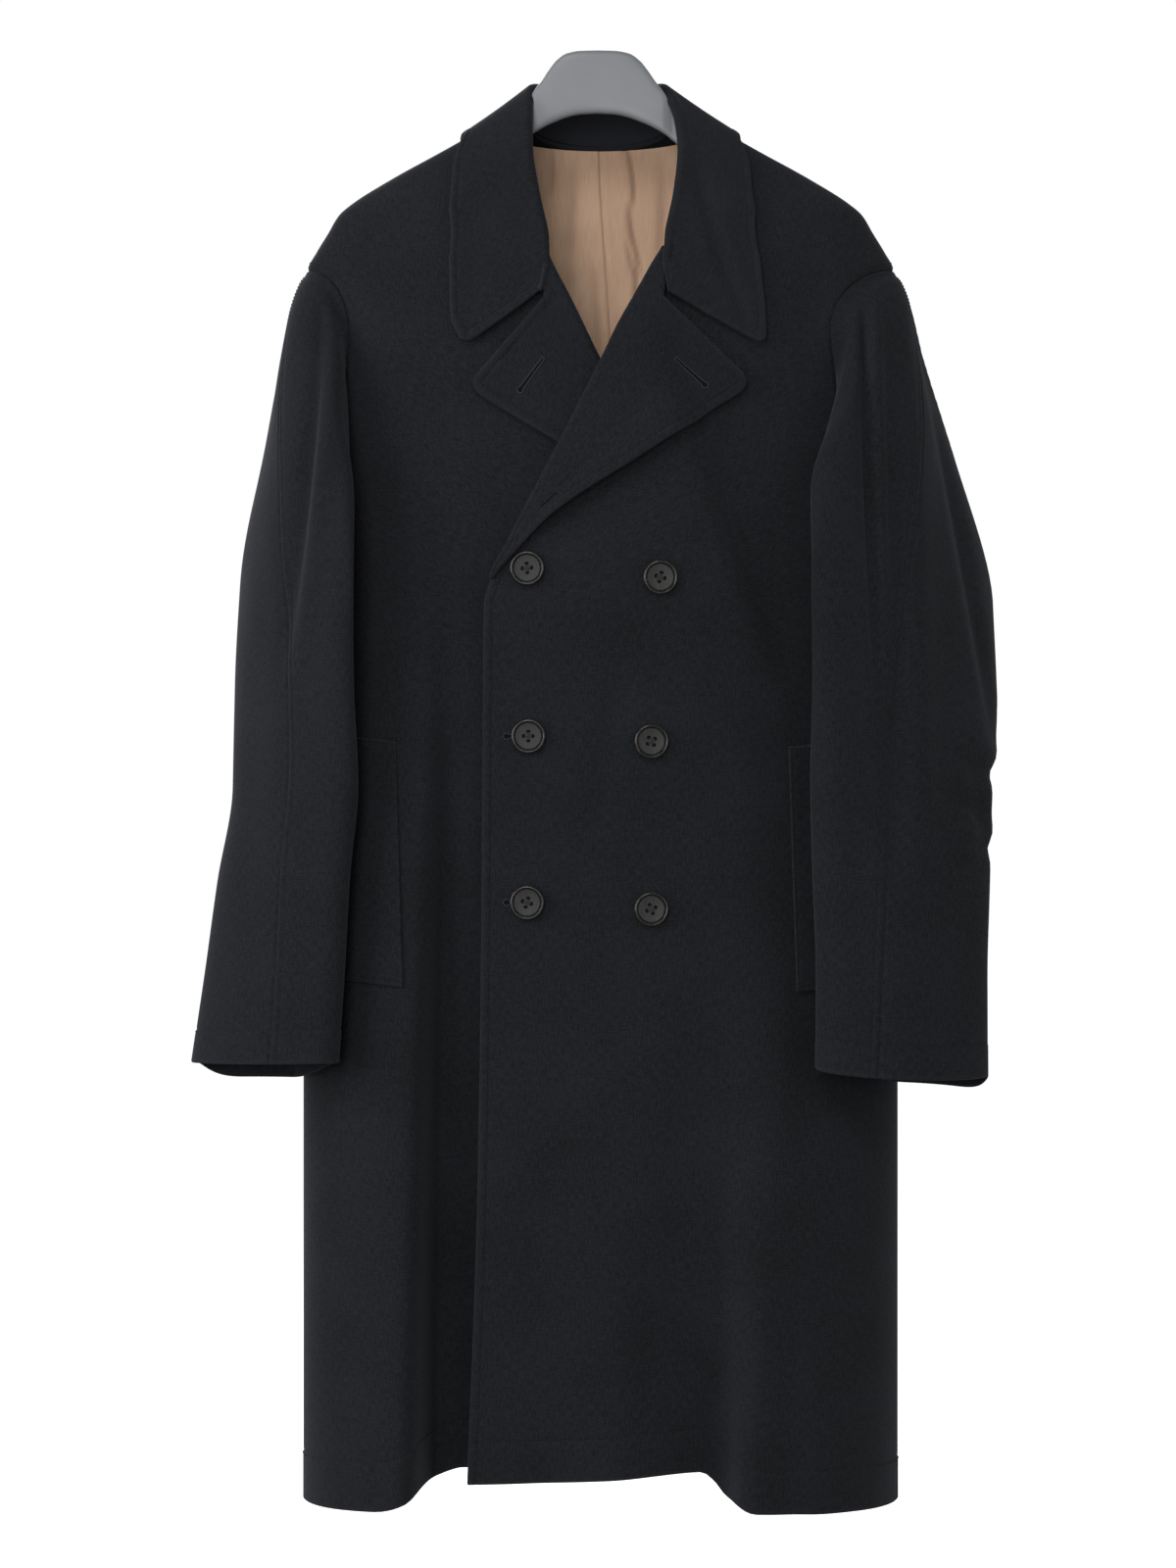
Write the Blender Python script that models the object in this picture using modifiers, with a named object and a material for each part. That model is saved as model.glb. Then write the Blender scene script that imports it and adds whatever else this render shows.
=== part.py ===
"""Double-breasted overcoat hanging on a broad grey hanger.

Every sewn piece is a thin wall worked out from the body's sections, and the pieces meet at seams.
Sizes are millimetres. The origin is the top of the hanger's neck, where its hook screws in.
+X is the wearer's left, -Y is the coat's front, +Z is up, and a drop is a distance below the origin.
"""

import math
from collections import namedtuple

import bmesh
import bpy
import numpy as np
from mathutils import Vector

# Cloth and seams
MM = 0.001
CLOTH = 2.0
COLLAR_CLOTH = 3.0
LAPEL_CLOTH = 2.5
LINING_CLOTH = 1.0
LINING_GAP = 2.4
SEAM = 0.3
SLEEVE_SEAM = 0.42
UNDERARM_GAP = 1.6
UNDERARM_FADE = 8
ROUNDNESS = 0.7

# Levels of the coat
NECK_DROP = 43.0
BACK_NECK_DROP = 67.0
SHOULDER_DROP = 175.0
UNDERARM_DROP = 425.0
GORGE_DROP = 158.0
BREAK_DROP = 404.0
LINING_HEM_RISE = 45.0
LINING_TOP_GAP = 3.6
LINING_INSET = 0.045
LINING_FADE = 4

# Grid of the panels: rows down to the underarm, then rows as shares of the way to the hem
UPPER_ROWS = 12
ROW_CROWDING = 1.25
UPPER_SHARE = 0.25
LOWER_SHARES = (0.05, 0.108, 0.17, 0.27, 0.38, 0.48, 0.58, 0.68, 0.78, 0.89, 1.0)
FRONT_COLUMNS = 17
NECK_COLUMNS = 3
SHOULDER_COLUMNS = 8

# Sections of the body, each a flattened oval, down from the neck
Section = namedtuple("Section", "drop half_width front_depth back_depth")
BODY = (
    Section(43, 61, 21, 38),
    Section(62, 95, 28, 55),
    Section(83, 132, 35, 61),
    Section(102, 166, 42, 65),
    Section(123, 199, 49, 68),
    Section(132, 209, 52, 69),
    Section(146, 217, 55, 71),
    Section(161, 226, 58, 72),
    Section(175, 233, 62, 74),
    Section(250, 236, 76, 79),
    Section(425, 236, 88, 84),
    Section(700, 236, 92, 88),
    Section(1150, 236, 96, 92),
)

# Free edge of each front, from the neck point down the roll line and the overlap to the hem
Edge = namedtuple("Edge", "drop out recess")
FRONT_EDGE = (
    Edge(43, 61, 0),
    Edge(62, 59, 2),
    Edge(94, 56, 4.5),
    Edge(125, 51, 5),
    Edge(158, 42, 5),
    Edge(181, 34, 5),
    Edge(205, 23, 5),
    Edge(250, 2, 5),
    Edge(345, -46, 5),
    Edge(395, -73, 4),
    Edge(420, -85, 0),
    Edge(445, -90, 0),
    Edge(700, -92, 0),
    Edge(900, -95, 0),
    Edge(1150, -104, 0),
)

# Hem of each panel, by the distance across the coat
Hem = namedtuple("Hem", "x drop")
UNDER_HEM = (
    Hem(-236, 1148), Hem(-175, 1145), Hem(-150, 1138),
    Hem(-138, 1129), Hem(-104, 1117), Hem(104, 1114),
)
OVER_HEM = (
    Hem(-105, 1126), Hem(0, 1122), Hem(84, 1117), Hem(98, 1124),
    Hem(115, 1137), Hem(135, 1143), Hem(236, 1148),
)
BACK_HEM = (Hem(-236, 1148), Hem(-120, 1141), Hem(0, 1138), Hem(120, 1141), Hem(236, 1148))

# Long folds of the hanging cloth, standing out by depth between two lines that run down the panel
Flute = namedtuple(
    "Flute", "layer start_drop depth from_x_top from_x_hem from_soft to_x_top to_x_hem to_soft")
FLUTES = (
    Flute("under", 330, 34, -260, -260, 10, -126, -141, 9),
    Flute("under", 430, -22, -122, -137, 10, 160, 160, 10),
    Flute("over", 640, 34, 108, 104, 9, 260, 260, 10),
    Flute("over", 760, -13, 40, 62, 16, 112, 98, 9),
    Flute("back", 380, 16, -200, -185, 20, -110, -100, 18),
    Flute("back", 420, -12, -80, -85, 18, -20, -22, 18),
    Flute("back", 400, 14, 60, 66, 20, 170, 160, 22),
)
HEM_DROP = 1150.0
SIDE_FADE = 8
TURN_STEP = 0.004
DROP_STEP = 1.5

# Overlapping front: how far it stands off the underlap at the chest and below it
CHEST_LIFT = 11.0
SKIRT_LIFT = 3.6
LIFT_START = 195.0
LIFT_FULL = 245.0
LIFT_EASE = 430.0
LIFT_LOW = 520.0
LIFT_EDGE_X = 48.0
LIFT_EDGE_SLANT = 0.36
LIFT_SOFT = 10.0

# Armhole: how far it is cut in from the side, as a share of the deepest cut
Armhole = namedtuple("Armhole", "drop share")
ARMHOLE = (
    Armhole(175, 0), Armhole(180, 0.36), Armhole(193, 0.72), Armhole(210, 0.93), Armhole(226, 1),
    Armhole(262, 0.94), Armhole(305, 0.8), Armhole(352, 0.58), Armhole(400, 0.27), Armhole(425, 0),
)
ARMHOLE_CUT = {
    ("right", "fore"): 38.0, ("left", "fore"): 56.0,
    ("right", "hind"): 32.0, ("left", "hind"): 32.0,
}

# Sleeves: rings from the armhole to the cuff, flattened tubes that turn towards the front
Ring = namedtuple(
    "Ring", "drop out forward wide thick turn tilt front_rise seam_turn armhole_share")
SLEEVE_RINGS = {
    "right": (
        Ring(325, 227, 6, 90, 26, 7, 117, 0, 6, 0.68),
        Ring(352, 238, 13, 90, 25, 12, 104, 0, 12, 0.38),
        Ring(392, 244, 22, 91, 24, 19, 82, 0, 16, 0.14),
        Ring(445, 246, 33, 90, 22, 27, 58, 0, 17, 0.02),
        Ring(510, 242, 43, 84, 22, 34, 36, 0, 17, 0),
        Ring(585, 240, 51, 77, 23, 40, 18, 2, 17, 0),
        Ring(658, 249, 55, 74, 25, 45, 8, 4, 19, 0),
        Ring(732, 256, 58, 72, 27, 50, 3, 6, 21, 0),
        Ring(800, 263, 60, 71, 30, 54, 0, 8, 23, 0),
    ),
    "left": (
        Ring(325, 229, 9, 90, 26, 12, 117, 0, 6, 0.66),
        Ring(352, 241, 18, 92, 25, 21, 104, 0, 12, 0.36),
        Ring(392, 250, 31, 95, 24, 32, 82, 0, 16, 0.13),
        Ring(445, 249, 47, 95, 23, 43, 58, 0, 17, 0.02),
        Ring(510, 241, 61, 89, 24, 54, 36, 0, 17, 0),
        Ring(585, 235, 73, 81, 26, 63, 18, 2, 17, 0),
        Ring(658, 234, 80, 75, 28, 69, 8, 4, 19, 0),
        Ring(732, 234, 83, 71, 29, 72, 1, 6, 22, 0),
        Ring(806, 234, 85, 70, 30, 75, -4, 8, 24, 0),
    ),
}
SLEEVE_CLEARANCE = 9.0
CLEARANCE_START = -0.5
CLEARANCE_FULL = 2.5
CLEAR_PASSES = 6
CLEAR_STEP = 12.0

# Collar: fold and outer edge at stations from the centre back (-1), by the neck point (0), to the gorge (1)
Collar = namedtuple(
    "Collar", "place fold_left fold_right fold_y fold_z edge_left edge_right edge_drop height")
COLLAR = (
    Collar(-1.0, 0, 0, 61, -20, 0, 0, 92, 5),
    Collar(-0.6, 27, 27, 55, -20, 50, 50, 90, 5),
    Collar(-0.3, 42, 42, 35, -23, 88, 88, 81, 4),
    Collar(0.0, 48, 48, 4, -28, 106, 106, 69, 2.8),
    Collar(0.2, 54, 54, -17, -48, 115, 114, 93, 4),
    Collar(0.45, 54, 53, -35, -80, 119, 117, 128, 6),
    Collar(0.7, 51, 48, -48, -115, 123, 117, 172, 6),
    Collar(1.0, 45, 41, -60.5, -157, 127, 115, 220, 7),
    Collar(1.12, 45, 39.5, -65.5, -178, 127, 110, 232, 7.3),
    Collar(1.25, 49.5, 43.5, -71.5, -200, 127, 106, 241, 7.5),
)
STAND_CLOTH = 2.0
STAND_FOOT_GAP = 2.1
STAND_TOP_GAP = 2.6
STAND_END = 0.75
STAND_ROWS = 2
LEAF_STATIONS = 8
LEAF_ROLL_START = 40.0
LEAF_GORGE_START = 65.0
COLLAR_ROLL = 3.5
COLLAR_ARC_STEPS = 5
COLLAR_FALL_STEPS = 5
COLLAR_BULGE = -0.6
FOLD_STEP = 0.06

# Lapels: lower edge from the tip (share 0) to the break (share 1), with the notch beside the gorge
LapelEdge = namedtuple("LapelEdge", "share out_left drop_left out_right drop_right")
LAPEL_EDGE = (
    LapelEdge(0.0, 114, 268, 100, 270),
    LapelEdge(0.06, 110, 275, 95, 277),
    LapelEdge(0.2, 88, 290, 73, 292),
    LapelEdge(0.5, 33, 326, 29, 319),
    LapelEdge(0.8, -30, 366, -32, 362),
    LapelEdge(1.0, -68, 397, -68, 397),
)
LAPEL_NOTCH = {"left": (47.5, 202.5), "right": (41.5, 201.0)}
LAPEL_ROLL = 3.2
LAPEL_ARC_STEPS = 5
LAPEL_FLAT_STEPS = 7
LAPEL_GAP = 0.9
NOTCH_FADE = 7
NOTCH_SHARE = 0.29
LAPEL_LIFT = {"left": 1.2, "right": 0.36}

# Pocket welts, by their inner edge and their upper and lower ends
Welt = namedtuple("Welt", "side top_in bottom_in top_drop bottom_drop width gap")
WELTS = (
    Welt("right", 160, 154, 548, 737, 50, 0.5),
    Welt("left", 146, 152, 553, 742, 50, 1.4),
)
WELT_CLOTH = 2.2
WELT_ROWS = 8
WELT_COLUMNS = 5

# Buttons, by their place on the overlapping front
ButtonPlace = namedtuple("ButtonPlace", "name x drop")
BUTTONS = (
    ButtonPlace("button_upper_right", -57, 416),
    ButtonPlace("button_upper_left", 46, 423),
    ButtonPlace("button_middle_right", -56, 546),
    ButtonPlace("button_middle_left", 39, 550),
    ButtonPlace("button_lower_right", -57, 675),
    ButtonPlace("button_lower_left", 39, 680),
)
ButtonCorner = namedtuple("ButtonCorner", "radius height")
BUTTON_PROFILE = (
    ButtonCorner(0.0, 2.9), ButtonCorner(8.3, 2.9), ButtonCorner(9.9, 4.0), ButtonCorner(11.5, 4.2),
    ButtonCorner(13.1, 3.3), ButtonCorner(13.4, 2.4), ButtonCorner(10.7, 0.3), ButtonCorner(8.0, 0.0),
    ButtonCorner(0.0, 0.0),
)
BUTTON_SHANK = 0.75
BUTTON_SIDES = 18
HOLE_RADIUS = 1.2
HOLE_SPACING = 3.3
HOLE_SIDES = 6
HOLE_DEPTH = 16.0
WELD = 0.00001

# Hanger: top and bottom edges and half depth at stations out from the middle
HangerStation = namedtuple("HangerStation", "out top bottom half_depth")
HANGER = (
    HangerStation(0, 0, -48, 11),
    HangerStation(14, -0.4, -49, 11),
    HangerStation(26, -2.5, -52, 11),
    HangerStation(34, -8, -55.5, 11),
    HangerStation(39, -16, -58, 11),
    HangerStation(42, -25, -60.5, 11),
    HangerStation(45, -40, -64, 11),
    HangerStation(53, -51, -70, 10),
    HangerStation(75, -62, -86, 10),
    HangerStation(105, -80, -106, 11),
    HangerStation(140, -95, -126, 14),
    HangerStation(172, -113, -145, 16),
    HangerStation(190, -126, -152, 16),
    HangerStation(198, -134, -148, 10),
)
HANGER_SIDES = 12
HANGER_ROUND = 0.72

# Finishes: linear colour, roughness and metallic value
Finish = namedtuple("Finish", "red green blue rough metallic")
FINISHES = {
    "black_wool": Finish(0.013, 0.014, 0.017, 0.95, 0.0),
    "tan_lining": Finish(0.31, 0.22, 0.16, 0.6, 0.0),
    "black_horn": Finish(0.012, 0.011, 0.011, 0.3, 0.0),
    "grey_plastic": Finish(0.24, 0.25, 0.26, 0.45, 0.0),
}
SHARP_ANGLE = 40.0
SIDE_SIGN = {"left": 1.0, "right": -1.0}


def smooth(places, values, at):
    """Return a curve through (places, values) that never overshoots, read at the given places."""
    places = np.asarray(places, float)
    values = np.asarray(values, float)
    spans = np.diff(places)
    slopes = np.diff(values) / spans
    ends = np.concatenate([[slopes[0]], np.zeros(len(slopes) - 1), [slopes[-1]]])
    same = slopes[:-1] * slopes[1:] > 0
    total = np.where(same, slopes[:-1] + slopes[1:], 1.0)
    ends[1:-1] = np.where(same, 2 * slopes[:-1] * slopes[1:] / total, 0.0)
    at = np.clip(np.asarray(at, float), places[0], places[-1])
    span = np.clip(np.searchsorted(places, at) - 1, 0, len(spans) - 1)
    share = (at - places[span]) / spans[span]
    rest = 1 - share
    rise = values[span] * rest**2 * (1 + 2 * share) + values[span + 1] * share**2 * (3 - 2 * share)
    bend = spans[span] * share * rest * (ends[span] * rest - ends[span + 1] * share)
    return rise + bend


def column(rows, name):
    """Return one named column of a table as an array."""
    return np.array([getattr(row, name) for row in rows], float)


def read(rows, key, name, at):
    """Read one named column of a table at places along its key column."""
    return smooth(column(rows, key), column(rows, name), at)


def half_width(drop):
    """Return half the body's width at a drop."""
    return read(BODY, "drop", "half_width", drop)


def ramp(low, high, at):
    """Return a soft step from 0 at low to 1 at high."""
    share = np.clip((np.asarray(at, float) - low) / (high - low), 0, 1)
    return share * share * (3 - 2 * share)


def step(distance, softness):
    """Return a soft step from 0 to 1 across a line."""
    return 0.5 * (1 + np.tanh(distance / softness))


def unit(vectors):
    """Return the vectors at length one."""
    return vectors / np.linalg.norm(vectors, axis=-1, keepdims=True)


def between(start, end, share):
    """Return the point that lies a share of the way from start to end."""
    return start + (end - start) * share


def fold_depth(layer, x, drop):
    """Return how far the long folds move a layer of cloth outwards."""
    depth = np.zeros(np.broadcast(x, drop).shape)
    for flute in FLUTES:
        if flute.layer == layer:
            grown = np.clip((drop - flute.start_drop) / (HEM_DROP - flute.start_drop), 0, 1)
            start = between(flute.from_x_top, flute.from_x_hem, grown)
            end = between(flute.to_x_top, flute.to_x_hem, grown)
            inside = step(x - start, flute.from_soft) * step(end - x, flute.to_soft)
            depth = depth + flute.depth * grown * inside
    return depth


def overlap_lift(x, drop):
    """Return how far the overlapping front stands off the underlap."""
    chest = ramp(LIFT_EASE, LIFT_LOW, drop)
    height = between(CHEST_LIFT, SKIRT_LIFT, chest) * ramp(LIFT_START, LIFT_FULL, drop)
    edge = LIFT_EDGE_X + LIFT_EDGE_SLANT * (np.minimum(drop, LIFT_LOW) - LIFT_FULL)
    return height * step(edge - x, LIFT_SOFT)


def body_points(turn, drop, layer):
    """Return outer points of a layer; turn is 0 at the front and a right angle at the left side."""
    width = half_width(drop)
    front = read(BODY, "drop", "front_depth", drop)
    back = read(BODY, "drop", "back_depth", drop)
    facing = np.cos(turn)
    x = width * np.sin(turn)
    extra = fold_depth(layer, x, drop)
    if layer == "over":
        extra = extra + overlap_lift(x, drop)
    fade = 1 - np.clip(np.abs(x) / width, 0, 1) ** SIDE_FADE
    reach = np.where(facing >= 0, front, back) * np.abs(facing) ** ROUNDNESS + extra * fade
    y = np.where(facing >= 0, -reach, reach)
    return np.stack([x, y, -drop * np.ones_like(x)], axis=-1)


def body_normals(turn, drop, layer):
    """Return the outward directions of a layer, which lie in the seam plane at the sides."""
    across = body_points(turn + TURN_STEP, drop, layer) - body_points(turn - TURN_STEP, drop, layer)
    down = body_points(turn, drop + DROP_STEP, layer) - body_points(turn, drop - DROP_STEP, layer)
    return unit(np.cross(down, across))


def turn_at(out, drop):
    """Return the turn at which a section has the given distance out from the middle."""
    return np.arcsin(np.clip(out / half_width(drop), -1, 1))


def armhole(share, side, face):
    """Return turn and drop on the armhole, from the shoulder point (0) to the underarm (1)."""
    middle = (SHOULDER_DROP + UNDERARM_DROP) / 2
    half = (UNDERARM_DROP - SHOULDER_DROP) / 2
    drop = middle - half * np.cos(np.pi * share)
    cut = ARMHOLE_CUT[side, face] * read(ARMHOLE, "drop", "share", drop)
    turn = np.arcsin(np.clip(1 - cut / half_width(drop), -1, 1))
    return turn if face == "fore" else np.pi - turn, drop


def upper_shares():
    """Return the shares of the rows from the shoulder to the underarm, closer at the top."""
    return np.linspace(0, 1, UPPER_ROWS + 1) ** ROW_CROWDING


def side_line(side, face, hem_drop):
    """Return turn and drop down a panel's outer side: the armhole, then the side seam."""
    turn, drop = armhole(upper_shares(), side, face)
    lower = between(UNDERARM_DROP, hem_drop, np.array(LOWER_SHARES))
    return np.concatenate([turn, np.full(len(lower), np.pi / 2)]), np.concatenate([drop, lower])


def row_shares():
    """Return each row's share of the way from the top of a panel to its hem."""
    lower = UPPER_SHARE + (1 - UPPER_SHARE) * np.array(LOWER_SHARES)
    return np.concatenate([upper_shares() * UPPER_SHARE, lower])


def edge_out(drop):
    """Return the free edge of a front, without the roll of its lapel."""
    return read(FRONT_EDGE, "drop", "out", drop)


def panel_edge(drop):
    """Return the edge of a front's own wall, behind the roll of its lapel."""
    return edge_out(drop) + read(FRONT_EDGE, "drop", "recess", drop)


def pull_back(points, rows=(), columns=(), amount=SEAM / 2):
    """Move border rows and columns of a grid of points back from their seams."""
    moved = points.copy()
    for row in rows:
        inner = 1 if row == 0 else -2
        moved[row] += amount * unit(points[inner] - points[row])
    for place in columns:
        inner = 1 if place == 0 else -2
        moved[:, place] += amount * unit(points[:, inner] - points[:, place])
    return moved


def front_layer(side):
    """Return the layer that a side's front belongs to: the left front lies over the right."""
    return "over" if side == "left" else "under"


def front_grid(side):
    """Return the turns and drops of a front, a row from its free edge to its side for each level."""
    sign = SIDE_SIGN[side]
    hem = OVER_HEM if side == "left" else UNDER_HEM
    edge_drop = between(NECK_DROP, read(hem, "x", "drop", sign * edge_out(HEM_DROP)), row_shares())
    edge_turn = turn_at(panel_edge(edge_drop), edge_drop)
    side_turn, side_drop = side_line(side, "fore", read(hem, "x", "drop", sign * BODY[-1].half_width))
    across = np.linspace(0, 1, FRONT_COLUMNS + 1)
    turn = between(edge_turn[:, None], side_turn[:, None], across)
    drop = between(edge_drop[:, None], side_drop[:, None], across)
    hem_drop = read(hem, "x", "drop", sign * BODY[-1].half_width * np.sin(turn))
    lower = np.concatenate([np.zeros(UPPER_ROWS + 1), np.array(LOWER_SHARES)])[:, None]
    drop = drop + lower * (hem_drop[-1] - drop[-1])
    return sign * turn, drop


def make_material(name):
    """Return a Principled material with one of the finishes."""
    material = bpy.data.materials.get(name)
    if material is None:
        finish = FINISHES[name]
        material = bpy.data.materials.new(name)
        material.use_nodes = True
        shader = material.node_tree.nodes["Principled BSDF"]
        shader.inputs["Base Color"].default_value = (finish.red, finish.green, finish.blue, 1)
        shader.inputs["Roughness"].default_value = finish.rough
        shader.inputs["Metallic"].default_value = finish.metallic
    return material


def add_object(name, mesh, finish, collection):
    """Put a mesh in the scene as a named sub-part with its finish."""
    mesh.shade_smooth()
    mesh.set_sharp_from_angle(angle=math.radians(SHARP_ANGLE))
    mesh.materials.append(make_material(finish))
    piece = bpy.data.objects.new(name, mesh)
    collection.objects.link(piece)
    return piece


def loft_mesh(name, points, faces):
    """Return a mesh of lofted faces, all facing out."""
    mesh = bpy.data.meshes.new(name)
    mesh.from_pydata((points.reshape(-1, 3) * MM).tolist(), [], faces)
    shape = bmesh.new()
    shape.from_mesh(mesh)
    bmesh.ops.recalc_face_normals(shape, faces=shape.faces)
    shape.to_mesh(mesh)
    shape.free()
    return mesh


def grid_faces(rows, columns, start):
    """Return the quads of a grid of points that are numbered from start."""
    number = start + np.arange(rows * columns).reshape(rows, columns)
    corners = [number[:-1, :-1], number[:-1, 1:], number[1:, 1:], number[1:, :-1]]
    return np.stack(corners, axis=-1).reshape(-1, 4).tolist()


def add_wall(name, outer, inner, finish, collection):
    """Make a wall of cloth between two grids of points, closed round its border."""
    rows, columns = outer.shape[:2]
    count = rows * columns
    number = np.arange(count).reshape(rows, columns)
    border = np.concatenate([number[0, :-1], number[:-1, -1], number[-1, :0:-1], number[:0:-1, 0]])
    following = np.roll(border, -1)
    rim = np.stack([border, following, following + count, border + count], axis=-1).tolist()
    faces = grid_faces(rows, columns, 0) + grid_faces(rows, columns, count) + rim
    mesh = loft_mesh(name, np.concatenate([outer.reshape(-1, 3), inner.reshape(-1, 3)]), faces)
    return add_object(name, mesh, finish, collection)


def grid_normals(points):
    """Return the directions square to a grid of points."""
    return unit(np.cross(np.gradient(points, axis=0), np.gradient(points, axis=1)))


def add_sheet(name, middle, thickness, finish, collection):
    """Make a wall of cloth of the given thickness about its middle surface."""
    offset = grid_normals(middle) * thickness / 2
    return add_wall(name, middle + offset, middle - offset, finish, collection)


def add_front(side, collection):
    """Make one front, from the shoulder seam, armhole and side seam to its free edge and hem."""
    turn, drop = front_grid(side)
    layer = front_layer(side)
    outer = body_points(turn, drop, layer)
    inner = outer - CLOTH * body_normals(turn, drop, layer)
    seams = {"rows": (0,), "columns": (-1,)}
    add_wall("front_" + side, pull_back(outer, **seams), pull_back(inner, **seams), "black_wool", collection)


def neck_line():
    """Return out and drop at the columns along the back neckline, from the centre to the neck point."""
    share = np.linspace(0, 1, NECK_COLUMNS + 1)
    return BODY[0].half_width * np.sin(share * np.pi / 2), between(BACK_NECK_DROP, NECK_DROP, share**2)


def back_grid():
    """Return the turns and drops of the back: neck and shoulders to the underarm's level, then to the hem."""
    neck_out, neck_drop = neck_line()
    shoulder_drop = np.linspace(NECK_DROP, SHOULDER_DROP, SHOULDER_COLUMNS + 1)[1:]
    top_out = np.concatenate([neck_out, half_width(shoulder_drop)])
    top_drop = np.concatenate([neck_drop, shoulder_drop])
    across = np.linspace(0, 1, len(top_out))
    side_turn, side_drop = armhole(upper_shares(), "left", "hind")
    side_out = half_width(side_drop) * np.sin(side_turn)
    level_out = half_width(UNDERARM_DROP) * np.sin(across * np.pi / 2)
    share = upper_shares()[:, None]
    out = between(top_out, level_out, share)
    out = out + across * (side_out[:, None] - out[:, -1:])
    drop = between(top_drop, UNDERARM_DROP, share)
    drop = drop + across * (side_drop[:, None] - drop[:, -1:])
    lower = np.array(LOWER_SHARES)[:, None]
    hem_drop = read(BACK_HEM, "x", "drop", level_out)
    out = np.concatenate([out, level_out + 0 * lower])
    drop = np.concatenate([drop, between(UNDERARM_DROP, hem_drop, lower)])
    turn = np.pi - turn_at(out, drop)
    mirrored = 2 * np.pi - turn[:, :0:-1]
    return np.concatenate([mirrored, turn], axis=1), np.concatenate([drop[:, :0:-1], drop], axis=1)


def add_back(collection):
    """Make the back in one piece and the lining that lies against its inside."""
    turn, drop = back_grid()
    outer = body_points(turn, drop, "back")
    normals = body_normals(turn, drop, "back")
    shoulders = np.abs(np.arange(turn.shape[1]) - turn.shape[1] // 2) >= NECK_COLUMNS
    faces = []
    for points in (outer, outer - CLOTH * normals):
        pulled = pull_back(points, columns=(0, -1))
        lowered = pull_back(points, rows=(0,))
        pulled[0, shoulders] = lowered[0, shoulders]
        faces.append(pulled)
    add_wall("back", faces[0], faces[1], "black_wool", collection)
    add_lining(turn, drop, collection)


def add_lining(turn, drop, collection):
    """Make the back lining from the back's own rows and columns, moved in, clear of its seams."""
    share = row_shares()[:, None]
    turn = turn + LINING_INSET * np.linspace(-1, 1, turn.shape[1]) * (1 - share) ** LINING_FADE
    drop = drop + between(LINING_TOP_GAP, -LINING_HEM_RISE, share)
    kept_rows = np.unique(np.r_[0:UPPER_ROWS, UPPER_ROWS:turn.shape[0]:2, turn.shape[0] - 1])
    turn = turn[kept_rows, 1:-1]
    drop = drop[kept_rows, 1:-1]
    points = body_points(turn, drop, "back")
    normals = body_normals(turn, drop, "back")
    near = points - (CLOTH + LINING_GAP) * normals
    far = near - LINING_CLOTH * normals
    add_wall("back_lining", near, far, "tan_lining", collection)


def clear_of_body(points, layer, clearance):
    """Move points that lie nearer the body than the clearance out along its surface direction."""
    moved = points.copy()
    for _ in range(CLEAR_PASSES):
        x = moved[..., 0]
        y = moved[..., 1]
        drop = np.clip(-moved[..., 2], NECK_DROP, HEM_DROP)
        width = half_width(drop)
        folds = fold_depth(layer, x, drop)
        if layer == "over":
            folds = folds + overlap_lift(x, drop)
        depth = np.where(y < 0, read(BODY, "drop", "front_depth", drop) + np.maximum(folds, 0),
                         read(BODY, "drop", "back_depth", drop))
        power = 2 / ROUNDNESS
        level = (x / width) ** 2 + (np.abs(y) / depth) ** power
        slope_x = 2 * x / width**2
        slope_y = power * (np.abs(y) / depth) ** (power - 1) / depth * np.sign(y)
        steep = np.hypot(slope_x, slope_y)
        push = np.clip((1 + steep * clearance - level) / steep, 0, CLEAR_STEP)
        moved[..., 0] += push * slope_x / steep
        moved[..., 1] += push * slope_y / steep
    return moved


def armhole_seam(side):
    """Return the whole armhole seam, from the overarm round the front: points, directions out and in."""
    sign = SIDE_SIGN[side]
    share = upper_shares()
    points = []
    normals = []
    for face, order in (("fore", slice(None)), ("hind", slice(-2, 0, -1))):
        turn, drop = armhole(share, side, face)
        layer = front_layer(side) if face == "fore" else "back"
        points.append(body_points(sign * turn, drop, layer)[order])
        normals.append(body_normals(sign * turn, drop, layer)[order])
    points = np.concatenate(points)
    normals = np.concatenate(normals)
    along = unit(np.roll(points, -1, axis=0) - np.roll(points, 1, axis=0))
    into = unit(np.cross(normals, along))
    into = into * np.sign(np.sum(into * (points.mean(axis=0) - points)))
    return points, normals, into


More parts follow.
